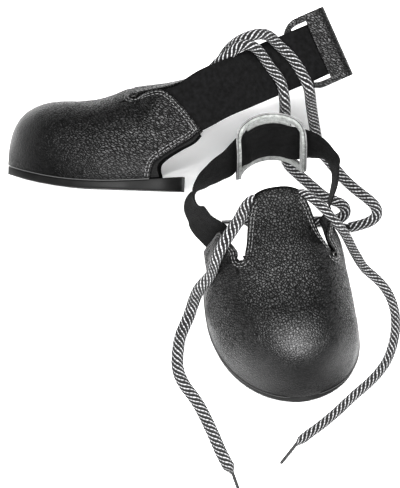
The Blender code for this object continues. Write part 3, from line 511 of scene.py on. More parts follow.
def wing_sheet(side, facts, front, top_rows, rear_rows, columns, depth):
    """A wing or its lining as a grid of points, in order round the shoe."""
    top = side_curve([front[-1], *top_rows], columns)
    rear = side_curve(rear_rows, len(front))
    start_x, start_z = front[0]
    over_sole = start_z - sole_top(start_x)
    low = np.linspace(start_x, rear[0][0], columns)
    bottom = np.array([[x, sole_top(x) + over_sole] for x in low])
    rear[0] = bottom[-1]
    places = fill_between(bottom, top, front, rear)
    points = [[wing_point(x, z, side, facts, depth) for x, z in row] for row in places]
    return points[::-1] if side == "outer" else points


def pad_axes(pad):
    """Directions of the heel piece: back, to the outer side, and up its height."""
    back = Vector((math.cos(pad["rise"]), 0.0, math.sin(pad["rise"])))
    up = Vector((-math.sin(pad["rise"]), 0.0, math.cos(pad["rise"])))
    return back, Vector((0.0, 1.0, 0.0)), up


def pad_curve(pad):
    """The heel piece seen along its height: length along it, and (back, outwards) for each."""
    angles = np.radians(np.linspace(-90, 90, 121))
    points = np.stack([pad["depth"] * (np.cos(angles) - 1), pad["half_width"] * np.sin(angles)], 1)
    leg = np.array([[-PAD_HALF_LENGTH, 0.0]])
    points = np.vstack([points[:1] + leg, points, points[-1:] + leg])
    gone = gone_along(points)
    return gone - gone[-1] / 2, points


def pad_point(pad, along, off, up_by):
    """A point of the heel piece, off its middle surface by a distance to the outside."""
    lengths, points = pad_curve(pad)
    step = 0.0002
    before, here, after = (
        np.array([np.interp(at, lengths, column) for column in points.T])
        for at in (along - step, along, along + step)
    )
    run = (after - before) / np.linalg.norm(after - before)
    here = here + off * np.array([run[1], -run[0]])
    back, out, up = pad_axes(pad)
    return Vector(pad["at"]) + back * here[0] + out * here[1] + up * up_by


def strap_side(cover, facts, side):
    """The strap's middle and width direction on one side, from under the wing to the slit."""
    sign = SIDES[side]["sign"]
    ahead, up = math.cos(facts["strap_rise"]), math.sin(facts["strap_rise"])
    rows = []
    for along in (0.0, 0.009, 0.018):
        x = STRAP_START + along * ahead
        z = facts["strap_start"][side] + along * up
        low, high = (
            wing_point(x - half * up, z + half * ahead, side, facts, STRAP_UNDER_WING)
            for half in (-0.018, 0.018)
        )
        rows.append([*((low + high) / 2), *(high - low).normalized()])
    for x, y, z, back, out in STRAPS[cover][side]:
        rows.append([x, sign * y, z, *Vector((back, sign * out, 1.0)).normalized()])
    return rows


def strap_in_pad(facts):
    """The strap's rows at the heel piece: inside its back, and outside past each slit."""
    inside = -(GAP / 2 + PAD_FELT + GAP + STRAP_THICKNESS / 2)
    half = [(along, inside) for along in (0.002, 0.004, 0.007, 0.010, 0.0135, 0.0165)]
    half += [((PAD_SLIT["start"] + PAD_SLIT["end"]) / 2, -GAP), *facts["strap_past_slit"]]
    steps = [(-along, off) for along, off in half[::-1]] + [(0.0, inside), *half]
    up = pad_axes(facts["pad"])[2]
    return [[*pad_point(facts["pad"], along, off, 0.0), *up] for along, off in steps]


def cover_matrix(facts):
    turned = Euler((-facts["tip"], 0.0, facts["turn"])).to_matrix().to_4x4()
    mirror = Matrix.Diagonal((1.0, -1.0 if facts["mirrored"] else 1.0, 1.0, 1.0))
    return Matrix.Translation(facts["place"]) @ turned @ mirror


def give(thing, **settings):
    for key, value in settings.items():
        setattr(thing, key, value)


# Materials


class Finish:
    """A material, and short ways to add nodes to it. A value is a number or another node's output."""

    def __init__(self, name, colour, roughness, **sockets):
        self.made = bpy.data.materials.new(name)
        self.made.use_nodes = True
        self.made.diffuse_color = (*colour, 1.0)
        self.tree = self.made.node_tree
        self.shader = self.tree.nodes["Principled BSDF"]
        self.set(Base_Color=(*colour, 1.0), Roughness=roughness, **sockets)

    def join(self, socket, value):
        if isinstance(value, bpy.types.NodeSocket):
            self.tree.links.new(value, socket)
        else:
            socket.default_value = value

    def set(self, **sockets):
        for key, value in sockets.items():
            self.join(self.shader.inputs[key.replace("_", " ")], value)

    def node(self, kind, inputs=(), **settings):
        made = self.tree.nodes.new("ShaderNode" + kind)
        give(made, **settings)
        for key, value in dict(inputs).items():
            self.join(made.inputs[key], value)
        return made.outputs

    def math(self, how, *values):
        return self.node("Math", enumerate(values), operation=how)[0]

    def product(self, first, second):
        return self.math("MULTIPLY", first, second)

    def sum_of(self, first, second, share=1.0):
        """first + second * share"""
        return self.math("MULTIPLY_ADD", second, share, first)

    def wave(self, value, length):
        return self.math("SINE", self.product(value, 2 * math.pi / length))

    def ramp(self, value, *stops, ease="LINEAR"):
        """A grey or a colour for each value, by stops."""
        out = self.node("ValToRGB", {"Fac": value})["Color"]
        ramp = out.node.color_ramp
        ramp.interpolation = ease
        while len(ramp.elements) < len(stops):
            ramp.elements.new(0.5)
        for element, (place, colour) in zip(ramp.elements, stops, strict=True):
            element.position = place
            element.color = (*(colour if isinstance(colour, tuple) else (colour,) * 3), 1.0)
        return out

    def attribute(self, name, output="Fac"):
        return self.node("Attribute", attribute_name=name)[output]

    def noise(self, scale, detail, **more):
        """Noise in the object's own space, if it isn't given another."""
        inputs = {"Scale": scale, "Detail": detail, **more}
        if "Vector" not in inputs:
            inputs["Vector"] = self.node("TexCoord")["Object"]
        return self.node("TexNoise", inputs)

    def cells(self, place, scale):
        """How far a place is from the edge of its cell."""
        inputs = {"Vector": place, "Scale": scale}
        return self.node("TexVoronoi", inputs, feature="DISTANCE_TO_EDGE")["Distance"]

    def vector(self, how, *values):
        return self.node("VectorMath", enumerate(values), operation=how)

    def split(self, vector):
        return self.node("SeparateXYZ", {"Vector": vector})

    def uv(self):
        return self.split(self.node("UVMap", uv_map="UVMap")["UV"])

    def bump(self, height, distance, strength=1.0):
        inputs = {"Height": height, "Distance": distance, "Strength": strength}
        self.set(Normal=self.node("Bump", inputs)["Normal"])


def leather_material():
    """Tumbled grain: raised pebbles between creases, flatter over the toe, with a rolled edge and a
    groove under each row of stitches. Its creases are painted darker as painted shade, and its shine
    is cut low down and at the toe's tip as painted shade."""
    skin = Finish("leather", (0.005, 0.005, 0.005), 0.4, Specular_IOR_Level=0.36)
    place, edge, relief = skin.attribute("place", "Vector"), skin.attribute("edge"), skin.attribute("relief")
    warp = skin.noise(150.0, 1.0, Vector=place)["Color"]
    moved = skin.vector("MULTIPLY_ADD", warp, (0.0018, 0.0018, 0.0018), place)[0]
    turned = [skin.vector("DOT_PRODUCT", moved, way)["Value"] for way in GRAIN_WAYS]
    drawn = skin.node("CombineXYZ", enumerate(turned))[0]
    pebble = skin.ramp(skin.cells(drawn, GRAIN), *PEBBLE_PROFILE, ease="EASE")
    pores = skin.ramp(skin.cells(moved, 2.6 * GRAIN), (0.0, 0.0), (0.25, 1.0))
    height = skin.product(skin.sum_of(pebble, pores, 0.18), relief)
    rolled = skin.ramp(skin.product(edge, 125.0), *EDGE_PROFILE)
    skin.bump(skin.sum_of(height, rolled), 0.00034)

    # 0 in the creases where the grain is raised, 1 on the pebbles; the base colour drawn from it is painted
    # shade, darker in the creases
    marked = skin.sum_of(1.0, skin.product(skin.sum_of(1.0, pebble, -1.0), relief), -1.0)
    spot = skin.split(place)
    # painted shade: the shine is cut low down, near the floor, and at the toe's tip
    shade_low_down = skin.ramp(skin.product(spot["Z"], 24.0), (0.0, 0.30), (1.0, 1.0), ease="EASE")
    shade_at_tip = skin.ramp(skin.product(spot["X"], 60.0), (0.0, 0.35), (1.0, 1.0), ease="EASE")
    shine = skin.ramp(marked, (0.0, 0.16), (0.5, 0.44), (1.0, 0.62))
    patches = skin.ramp(skin.noise(45.0, 3.0, Vector=place)["Fac"], (0.3, 0.0), (0.7, 0.12))
    skin.set(
        Specular_IOR_Level=skin.product(shine, skin.product(shade_low_down, shade_at_tip)),
        Roughness=skin.sum_of(skin.ramp(marked, (0.0, 0.6), (0.5, 0.36), (1.0, 0.28)), patches),
        # painted shade: the base colour is darker in the creases
        Base_Color=skin.ramp(marked, (0.0, 0.0003), (0.45, 0.003), (1.0, (0.007, 0.007, 0.0072))),
    )
    return skin.made


def suede_material(name, dark, light):
    suede = Finish(name, light, 0.95, Sheen_Weight=0.3, Sheen_Roughness=0.5)
    fluff = suede.noise(420.0, 6.0, Roughness=0.7)["Fac"]
    mixed = suede.sum_of(suede.product(fluff, 0.6), suede.noise(70.0, 2.0)["Fac"], 0.4)
    suede.set(Base_Color=suede.ramp(mixed, (0.32, dark), (0.66, light)))
    suede.bump(fluff, 0.0012, 0.8)
    return suede.made


def rubber_material():
    rubber = Finish("rubber", (0.006, 0.006, 0.006), 0.62, Specular_IOR_Level=0.25)
    fine, wide = rubber.noise(900.0, 3.0)["Fac"], rubber.noise(60.0, 3.0)["Fac"]
    rubber.set(
        Roughness=rubber.ramp(wide, (0.3, 0.52), (0.7, 0.74)),
        Base_Color=rubber.ramp(wide, (0.3, 0.005), (0.7, 0.010)),
    )
    rubber.bump(fine, 0.0002, 0.7)
    return rubber.made


def elastic_material():
    """Ribbed webbing: fine ribs along it, crossed by the weft, and a firmer edge."""
    web = Finish("elastic", (0.005, 0.005, 0.005), 0.85, Sheen_Weight=0.03, Specular_IOR_Level=0.15)
    place = web.uv()
    ribs, weft = web.wave(place["Y"], RIB), web.wave(place["X"], WEFT)
    weave = web.sum_of(web.product(ribs, weft), ribs, 0.9)
    off = web.math("ABSOLUTE", web.math("SUBTRACT", place["Y"], STRAP_WIDTH / 2))
    share = web.product(off, 2 / STRAP_WIDTH)
    border = web.ramp(share, (0.0, 0.5), (0.86, 0.5), (0.885, 0.0), (0.91, 1.0), (1.0, 1.0))
    web.bump(web.sum_of(web.product(weave, 0.3), border, 0.8), 0.00025, 0.8)
    dust = web.noise(300.0, 4.0)["Fac"]
    web.set(Base_Color=web.ramp(dust, (0.3, 0.004), (0.75, (0.011, 0.011, 0.0115))))
    return web.made


def lining_material():
    cloth = Finish("lining", (0.010, 0.010, 0.010), 0.85, Sheen_Weight=0.05, Specular_IOR_Level=0.2)
    threads = cloth.noise(1200.0, 3.0)["Fac"]
    cloth.set(Base_Color=cloth.ramp(threads, (0.3, 0.005), (0.7, 0.016)))
    cloth.bump(threads, 0.0003, 0.8)
    return cloth.made


def lace_material():
    """A round braid of black and pale threads that run slanting round it."""
    braid = Finish("lace", (0.2, 0.2, 0.2), 0.75, Sheen_Weight=0.1)
    place = braid.uv()
    turns = braid.product(place["X"], 1 / STRIPE)
    stripe, crossing = (braid.wave(braid.sum_of(turns, place["Y"], slant), 1.0) for slant in (7.0, -9.0))
    share, knots = (braid.sum_of(0.5, wave, 0.5) for wave in (stripe, crossing))
    dashes = braid.ramp(knots, (0.0, 0.72), (0.40, 1.0))
    grime = braid.ramp(braid.noise(260.0, 2.0)["Fac"], (0.35, 0.0), (0.7, 0.2))
    mixed = braid.sum_of(braid.product(share, dashes), grime, -1.0)
    tones = ((0.0, 0.003), (0.52, 0.006), (0.68, (0.24, 0.24, 0.245)), (1.0, (0.50, 0.50, 0.51)))
    braid.set(Base_Color=braid.ramp(mixed, *tones))
    braid.bump(braid.sum_of(braid.math("ABSOLUTE", stripe), knots, 0.6), 0.0009)
    return braid.made


def plain_material(name, colour, roughness, **sockets):
    return Finish(name, colour, roughness, **sockets).made


# Meshes


def placed(name, data):
    made = bpy.data.objects.new(name, data)
    bpy.context.scene.collection.objects.link(made)
    return made


def show(piece, *finishes):
    for finish in finishes:
        piece.data.materials.append(finish)
    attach(piece, "root")


def stand_in(piece, node, slot, *finishes):
    """Shows a piece in the place of a solid."""
    show(piece, *finishes)
    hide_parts(node)


def mesh_of(shape, name):
    mesh = bpy.data.meshes.new(name)
    shape.to_mesh(mesh)
    shape.free()
    mesh.shade_smooth()
    return mesh


def tree_of(points):
    tree = KDTree(len(points))
    for k, point in enumerate(points):
        tree.insert(point, k)
    tree.balance()
    return tree


def grid_object(name, grids, matrix, kept=None):
    """An open sheet from grids of points that share their edges, laid in the scene. Each vertex
    keeps its place in the cover's own frame for the material."""
    shape = bmesh.new()
    mirrored = matrix.determinant() < 0
    for points in grids:
        verts = [[shape.verts.new(p) for p in row] for row in points]
        for i in range(len(verts) - 1):
            for j in range(len(verts[0]) - 1):
                corners = [verts[i][j], verts[i + 1][j], verts[i + 1][j + 1], verts[i][j + 1]]
                apart = {tuple(round(c, 7) for c in v.co) for v in corners}
                if len(apart) > 2 and (kept is None or kept(i, j)):
                    shape.faces.new(corners[::-1] if mirrored else corners)
    bmesh.ops.remove_doubles(shape, verts=shape.verts, dist=2e-5)
    bmesh.ops.dissolve_degenerate(shape, edges=shape.edges, dist=1e-6)
    bmesh.ops.delete(shape, geom=[v for v in shape.verts if not v.link_faces], context="VERTS")
    mesh = mesh_of(shape, name)
    own = np.zeros(3 * len(mesh.vertices))
    mesh.vertices.foreach_get("co", own)
    mesh.attributes.new("place", "FLOAT_VECTOR", "POINT").data.foreach_set("vector", own)
    mesh.transform(matrix)
    return placed(name, mesh)


def give_numbers(mesh, **numbers):
    """A number for each vertex, under a name that a material reads."""
    for name, values in numbers.items():
        mesh.attributes.new(name, "FLOAT", "POINT").data.foreach_set("value", values)


def add_wall(piece, thickness, rim, outwards=False, inner_slot=0, edge_slot=0):
    """Thickness on one side of a sheet, with rounded edges of its own."""
    give(
        piece.modifiers.new("wall", "SOLIDIFY"),
        thickness=thickness,
        offset=1.0 if outwards else -1.0,
        use_even_offset=True,
        material_offset=inner_slot,
        material_offset_rim=edge_slot,
    )
    rounded = piece.modifiers.new("rounded rim", "BEVEL")
    give(rounded, width=rim, segments=2, limit_method="ANGLE", angle_limit=math.radians(50))


def add_tube(shape, rings, uvs=None):
    """Faces through rings of points, with capped ends. uvs has a number for each ring and one for
    each corner of a ring."""
    layer = shape.loops.layers.uv.active
    verts = [[shape.verts.new(p) for p in ring] for ring in rings]
    size = len(verts[0])
    for i, (first, second) in enumerate(zip(verts[:-1], verts[1:], strict=True)):
        for k in range(size):
            after = (k + 1) % size
            face = shape.faces.new([first[k], first[after], second[after], second[k]])
            if uvs:
                places = ((i, k), (i, k + 1), (i + 1, k + 1), (i + 1, k))
                for loop, (a, b) in zip(face.loops, places, strict=True):
                    loop[layer].uv = (uvs[0][a], uvs[1][b])
    shape.faces.new(verts[0][::-1])
    shape.faces.new(verts[-1])


def ring_object(name, rings, uvs=None):
    """A closed tube through rings of points."""
    shape = bmesh.new()
    if uvs:
        shape.loops.layers.uv.new("UVMap")
    add_tube(shape, rings, uvs)
    bmesh.ops.recalc_face_normals(shape, faces=shape.faces)
    mesh = mesh_of(shape, name)
    mesh.set_sharp_from_angle(angle=math.radians(55))
    return placed(name, mesh)


# Laces


def lace_surface():
    """Everything that a lace can lie on."""
    points, faces = [], []
    for name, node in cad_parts.items():
        if "lace" not in name:
            start = len(points)
            points += [v.co for v in node.data.vertices]
            faces += [[start + k for k in p.vertices] for p in node.data.polygons]
    return BVHTree.FromPolygons(points, faces)


def lace_faces(thick, path, surface):
    """Which way the flat of a braid looks at each point, and how far the point moves to lie on what
    is under it."""
    reach = 0.0045  # from what a lace lies on
    rest = thick / 2 + 2 * LOWEST
    faces, shifts = [], []
    for point in path:
        point = Vector(point)
        spot, _, _, away = surface.find_nearest(point)
        face = TO_CAMERA.copy()
        move = Vector()
        if away > 1e-5:
            out = (point - spot) / away
            near = 1 - ease((away - 0.003) / 0.005)
            face += out * (2.0 * near * max(0.0, out.dot(TO_CAMERA)))
            if away < reach:
                move = out * (rest - away)
        face += UP * (4.0 * (1 - ease((point.z - 0.003) / 0.012)))
        if point.z < reach:
            move = UP * (rest - LOWEST - point.z)
        faces.append(face.normalized())
        shifts.append(move)
    return blurred(np.array(faces), 6), blurred(np.array(shifts), 5)


def lace_path(name, surface):
    """A lace's route on what it lies on, and which way it runs, its flat looks and its sides lie."""
    facts = LACES[name]
    low = facts["thick"] / 2 + LOWEST
    path = smooth_route(LACE_ROUTES[name], math.ceil(facts["length"] / LACE_STEP))
    path[:, 2] = np.maximum(path[:, 2], low)
    shifts = lace_faces(facts["thick"], path, surface)[1]
    path = even_rows(blurred(path + shifts, 12), LACE_STEP)
    path[:, 2] = np.maximum(path[:, 2], low)
    along = at_length_1(np.gradient(path, axis=0))
    faces = square_to(lace_faces(facts["thick"], path, surface)[0], along)
    return path, along, faces, np.cross(faces, along)


def between(first, second, share):
    return [a + (b - a) * share for a, b in zip(first, second, strict=True)]


def braid_ring(middle, side, face, wide, thick):
    """A flattened round across a braid."""
    ring = []
    for angle in np.linspace(0, 2 * math.pi, LACE_SIDES + 1)[:-1]:
        across, up = (math.copysign(abs(n) ** 0.8, n) for n in (math.cos(angle), math.sin(angle)))
        place = Vector(middle + side * (wide * across) + face * (thick * up))
        place.z = max(place.z, LOWEST)
        ring.append(place)
    return ring


def make_lace(name, surface, finish):
    facts = LACES[name]
    fitted = facts["end"] == "fitting"
    path, along, faces, sides = lace_path(name, surface)
    gone = gone_along(path)
    rings = []
    for at, point, side, face in zip(gone, path, sides, faces, strict=True):
        free = ease((at - TUNNEL + 0.002) / 0.005)
        size = between(LACE_IN_HEM, (facts["width"] / 2, facts["thick"] / 2), free)
        if fitted:
            size = between(LACE_AT_TIP, size, ease((gone[-1] - at) / 0.007))
        rings.append(braid_ring(point, side, face, *size))
    lace = ring_object(name + "_braid", rings, (gone, np.arange(LACE_SIDES + 1) / LACE_SIDES))
    stand_in(lace, name, "lace", finish)
    if fitted:
        pieces = [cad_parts[name + "_aglet"]]
    else:
        ends = (Vector(rows[-1]) for rows in (path, along, sides, faces))
        pieces = [make_fray(name, *ends, facts, finish)]


def make_fray(name, end, ahead, side, face, facts, finish):
    """The loose threads at the cut end of a braid."""
    chance = random.Random(7)
    shape = bmesh.new()
    shape.loops.layers.uv.new("UVMap")
    for number in range(FRAY_THREADS):
        angle = chance.uniform(0, 2 * math.pi)
        across, up = math.cos(angle), math.sin(angle)
        far = math.sqrt(chance.uniform(0, 1))
        root = end + side * (0.42 * facts["width"] * far * across) + face * (0.4 * facts["thick"] * far * up)
        spread = side * across * chance.uniform(0.2, 0.8) + face * abs(up) * 0.4
        long = chance.uniform(0.0025, 0.0065)
        points = [root - ahead * 0.001]
        for step in (0.35, 0.7, 1.0):
            place = root + ahead * long * step + spread * step * step * long - UP * 0.0004 * step
            place.z = max(place.z, 0.0005)
            points.append(place)
        rings = [circle(place, side, face, FRAY_RADIUS, 3) for place in points]
        add_tube(shape, rings, ([0.0] * 4, [number * 0.061] * 4))
    made = placed(name + "_fray", mesh_of(shape, name + "_fray"))
    show(made, finish)
    return made


# Cloth and leather


def fine_angles(round_share):
    """Angles up one of the dome's arcs, closer together at the slit."""
    slit = SLIT_ANGLES["outer"] + (SLIT_ANGLES["inner"] - SLIT_ANGLES["outer"]) * round_share
    low, high = slit - SLIT_HALF_ANGLE, slit + SLIT_HALF_ANGLE
    angles = [low * share for share in LOW_SHARES]
    angles += [slit + share * SLIT_HALF_ANGLE for share in SLIT_SHARES]
    return angles + [high + (90 - high) * share for share in HIGH_SHARES]


def fine_tongue(across):
    """The tongue and its folded hem, from the row of points where it begins."""
    first, last, top = across[0].y, across[-1].y, across[len(across) // 2].z
    centre, half = (first + last) / 2, (last - first) / 2
    edges = [(SLIT_START, last, first), *TONGUE_EDGES]
    rows = [across]
    for share in np.linspace(0, 1, TONGUE_ROWS)[1:]:
        x = SLIT_START + (TONGUE_END - SLIT_START) * share
        outer, inner = (column_at(edges, column, x) for column in (1, 2))
        flat = ease(1.3 * share)
        row = []
        for point in across:
            off = (point.y - centre) / half
            y = (outer + inner) / 2 + off * (outer - inner) / 2
            dip = (1 - flat) * (top - point.z) + flat * TONGUE_ARCH * off**2
            row.append(Vector((x - TONGUE_ROUND * share**3 * abs(off) ** 3, y, ridge(x) - dip)))
        rows.append(row)
    run = 0.004
    slope = math.atan2(ridge(TONGUE_END) - ridge(TONGUE_END - run), run)
    ahead = Vector((math.cos(slope), 0.0, math.sin(slope)))
    below = Vector((math.sin(slope), 0.0, -math.cos(slope)))
    moves = [
        ahead * (HEM_RADIUS * math.sin(angle)) + below * (HEM_RADIUS * (1 - math.cos(angle)))
        for angle in np.radians(np.linspace(0, 180, 13)[1:])
    ]
    folded = below * (2 * HEM_RADIUS)
    moves += [folded - ahead * back for back in (0.0027, 0.0053, HEM_FLAP)]
    rise = 2 * HEM_RADIUS - 2 * LEATHER - GAP
    for share in (0.5, 1.0):
        moves.append(folded - ahead * (HEM_FLAP + HEM_CLOSING * share) - below * rise * ease(share))
    return rows + [[p + move for p in rows[-1]] for move in moves]


def vamp_grids(facts):
    """The upper's grids of points, and the lines of its cut edges."""
    backs = list(np.linspace(SLIT_START, TOP_START, 27)[:-1])
    feet = dome_feet(list(np.linspace(1, 0, 31)), backs)
    dome = [dome_arc(foot, fine_angles(foot[2])) for foot in feet]
    count = SLIT_EASING + 1
    grids, lines = [dome], {}
    for side, arcs in (("outer", dome[:count]), ("inner", dome[: -count - 1 : -1])):
        arc = arcs[0]
        for share, point in zip(SLIT_SHARES, arc[SLIT_LOW : SLIT_HIGH + 1], strict=True):
            point.x -= SLIT_ROUND * math.sqrt(max(0.0, 1 - share**2))
        for k in range(SLIT_LOW + 1, SLIT_HIGH):
            for depth in range(1, count):
                arcs[depth][k].x -= (SLIT_START - arc[k].x) * (1 - depth / count)
        low_edge = arc[: SLIT_LOW + 1]
        front = np.array([[p.x, p.z] for p in low_edge])
        points = wing_sheet(side, facts, front, WING_TOP, WING_REAR, 44, 0.0)
        points[-1 if side == "outer" else 0] = low_edge
        grids.append(points)
        backwards = points[::-1] if side == "outer" else points
        lines[side + "_top"] = [row[-1] for row in backwards[::-1]] + arc[SLIT_LOW + 1 : SLIT_HIGH + 1]
        lines[side + "_rear"] = backwards[-1]
    tongue = fine_tongue([*dome[-1][SLIT_HIGH:], *dome[0][SLIT_HIGH:-1][::-1]])
    lines["inner_top"] += [row[0] for row in tongue[1:TONGUE_ROWS]]
    lines["outer_top"] += [row[-1] for row in tongue[1:TONGUE_ROWS]]
    return [*grids, tongue], lines


def relief_at(point):
    """How raised the grain is: flat over the toe and low on the sides, full on top and behind."""
    back = ease((point.x - 0.012) / 0.040)
    up = ease((point.z - 0.012) / 0.022)
    return 0.4 + 0.6 * back * (0.35 + 0.65 * up)


def wrinkle_at(point):
    """How far the leather is off its smooth form: uneven all over, creased where it flexes."""
    flex = ease((point.x - 0.055) / 0.012) * (1 - ease((point.x - 0.088) / 0.012))
    crease = math.sin(point.x * 900 + 2.5 * noise.noise(point * 60))
    crease *= max(0.0, noise.noise(point * 45 + Vector((3, 1, 7))) + 0.1)
    return 0.00035 * noise.noise(point * 55) + 0.0004 * flex * crease


def make_vamp(cover, facts, finishes):
    grids, lines = vamp_grids(facts)
    matrix = cover_matrix(facts)
    piece = grid_object(f"{cover}_upper", grids, matrix)
    mesh = piece.data
    places = [Vector(item.vector) for item in mesh.attributes["place"].data]
    pairs = [pair for line in lines.values() for pair in zip(line[:-1], line[1:], strict=True)]
    edges = tree_of([p for a, b in pairs for p in (a, (a + b) / 2)])
    away = [edges.find(place)[2] for place in places]
    give_numbers(mesh, edge=[min(far, EDGE_REACH) for far in away], relief=[relief_at(p) for p in places])
    for place, far, vertex in zip(places, away, mesh.vertices, strict=True):
        free = min(far / 0.006, 1.0) * ease((place.z - 0.010) / 0.02)
        vertex.co += vertex.normal * wrinkle_at(place) * free
    surface = BVHTree.FromPolygons([v.co for v in mesh.vertices], [list(p.vertices) for p in mesh.polygons])
    add_wall(piece, LEATHER, 0.0004, inner_slot=1)
    stand_in(piece, f"{cover}_vamp", "leather", finishes["leather"], finishes["flesh"])
    make_stitches(cover, surface, [[matrix @ p for p in line] for line in lines.values()], finishes)


def offset_line(surface, line, away):
    """Places and normals on a surface, at a distance from one of its edges."""
    points = [Vector(p) for p in even_rows(line, 0.0008)]
    tree = tree_of(points)
    kept = []
    for k in range(1, len(points) - 1):
        point = points[k]
        run = (points[min(k + 2, len(points) - 1)] - points[max(k - 2, 0)]).normalized()
        inward = surface.find_nearest(point)[1].cross(run).normalized() * away
        found = [surface.find_nearest(aim) for aim in (point + inward, point - inward)]
        spot, normal, _, off = min(found, key=lambda each: each[3])
        if off < 0.5 * away and tree.find(spot)[2] > 0.9 * away:
            kept.append((spot, normal))
    return kept


def make_stitches(cover, surface, lines, finishes):
    shape = bmesh.new()
    for line in lines:
        for away in STITCH_ROWS:
            found = offset_line(surface, line, away)
            since, first = 0.0, None
            for (spot, normal), (after, _) in zip(found[:-1], found[1:], strict=True):
                step = (after - spot).length
                if step > STITCH_GAP:
                    first = None
                    continue
                if first is None:
                    first, since = spot, 0.0
                since += step
                if since >= STITCH:
                    add_stitch(shape, first, after, normal)
                    first = None
    made = placed(f"{cover}_stitching", mesh_of(shape, f"{cover}_stitching"))
    show(made, finishes["thread"])


def add_stitch(shape, start, end, normal):
    """One stitch: a short thread that dips into the leather at both ends."""
    run = end - start
    side = normal.cross(run.normalized()).normalized()
    profile = ((0.06, -0.2, 0.5), (0.25, 0.35, 1.0), (0.55, 0.45, 1.0), (0.80, -0.1, 0.7))
    rings = []
    for share, lift, thick in profile:
        rings.append(circle(start + run * share + normal * (THREAD * lift), side, normal, THREAD * thick, 6))
    add_tube(shape, rings)


def make_lining(cover, facts, side, finishes):
    front_x, front_z = LINING_TOP[0]
    low = sole_top(front_x) + 2 * GAP
    front = np.array([[front_x, z] for z in np.linspace(low, front_z, 24)])
    points = wing_sheet(side, facts, front, LINING_TOP[1:], LINING_REAR, 30, LEATHER + LINING_GAP)
    name = f"{cover}_{side}_lining"
    piece = grid_object(name + "_cloth", [points], cover_matrix(facts))
    add_wall(piece, LINING, 0.0002)
    stand_in(piece, name, "lining", finishes["lining"])


def make_heel_piece(cover, facts, finishes):
    """Leather and felt with two upright slits, on the two sides of one middle surface."""
    start, end, cut = PAD_SLIT["start"], PAD_SLIT["end"], PAD_SLIT["share"]
    half = [*np.linspace(0, start, 12), *np.linspace(start, end, 7)[1:]]
    half += list(end + (PAD_HALF_LENGTH - end) * np.sin(np.linspace(0, math.pi / 2, 12)[1:]))
    lengths = [-length for length in half[:0:-1]] + half
    shares = [-1.0, -0.95, -0.9, *np.linspace(-cut, cut, 21), 0.9, 0.95, 1.0]

    def is_kept(i, j):
        middle = abs(lengths[i] + lengths[i + 1]) / 2
        return not (start < middle < end and 2 < j < len(shares) - 4)

    layers = (
        ("leather", GAP / 2, PAD_LEATHER, 0.0004, True, 1),
        ("felt", -GAP / 2, PAD_FELT, 0.0006, False, 0),
    )
    for finish, off, thickness, rim, outwards, edge_slot in layers:
        points = []
        for along in lengths:
            past = max(0.0, (abs(along) - PAD_HALF_LENGTH + PAD_CORNER) / PAD_CORNER)
            tall = PAD_HALF_HEIGHT - PAD_CORNER * (1 - math.sqrt(max(0.0, 1 - past**2)))
            points.append([pad_point(facts["pad"], along, off, tall * s) for s in shares])
        name = f"{cover}_heel_{finish}"
        piece = grid_object(name + "_layer", [points], cover_matrix(facts), is_kept)
        count = len(piece.data.vertices)
        give_numbers(piece.data, edge=[EDGE_REACH] * count, relief=[0.9] * count)
        add_wall(piece, thickness, rim, outwards, edge_slot=edge_slot)
        stand_in(piece, name, finish, finishes[finish], finishes["raw"])


def make_strap(cover, facts, finishes):
    rows = strap_side(cover, facts, "inner") + strap_in_pad(facts) + strap_side(cover, facts, "outer")[::-1]
    route = smooth_rows(rows, 0.0012)
    wide, thick = STRAP_WIDTH / 2, STRAP_THICKNESS / 2
    across = np.linspace(-wide, wide, 13)[1:-1]
    section = [(a, -thick) for a in across] + [(wide, -thick / 2), (wide, thick / 2)]
    section += [(a, thick) for a in across[::-1]] + [(-wide, thick / 2), (-wide, -thick / 2)]
    matrix = cover_matrix(facts)
    rings = [[matrix @ Vector(p) for p in ring] for ring in band_rings(route, section)]
    gone = gone_along(route[:, :3])
    over = [a + wide for a, _ in [*section, section[0]]]
    piece = ring_object(f"{cover}_strap_webbing", rings, (gone, over))
    stand_in(piece, f"{cover}_strap", "elastic", finishes["elastic"])


def sole_ring(x):
    """The half sole's section at x, with a rounded lower edge."""
    corner = max(0.0, (x - SOLE_LENGTH + REAR_CORNER) / REAR_CORNER)
    inset = SOLE_INSET + REAR_CORNER * (1 - math.sqrt(max(0.0, 1 - corner**2)))
    outer, inner = half_width(x, "outer") - inset, inset - half_width(x, "inner")
    top, bottom = sole_top(x), sole_bottom(x)
    middle = (outer + inner) / 2
    bevel = min(SOLE_BEVEL, (top - bottom) / 3)
    turns = [math.radians(angle) for angle in (0, 22, 45, 68, 90)]
    low = [(bevel * (1 - math.cos(a)), bottom + bevel * (1 - math.sin(a))) for a in turns]
    ring = [(outer - SOLE_EDGE, top), (outer, top - SOLE_EDGE)]
    ring += [(outer - cut, z) for cut, z in low] + [(middle, bottom)]
    ring += [(inner + cut, z) for cut, z in low[::-1]]
    ring += [(inner, top - SOLE_EDGE), (inner + SOLE_EDGE, top), (middle, top)]
    return [Vector((x, y, z)) for y, z in ring]


def make_sole(cover, facts, finishes):
    back = SOLE_LENGTH - REAR_CORNER
    stations = list(0.0003 + TOP_START * np.linspace(0, 1, 26) ** 2.2)
    stations += list(np.linspace(TOP_START, back, 20)[1:])
    stations += list(back + REAR_CORNER * np.sin(np.radians(np.linspace(0, 88, 14)[1:])))
    matrix = cover_matrix(facts)
    piece = ring_object(f"{cover}_sole_rubber", [[matrix @ p for p in sole_ring(x)] for x in stations])
    stand_in(piece, f"{cover}_sole", "rubber", finishes["rubber"])


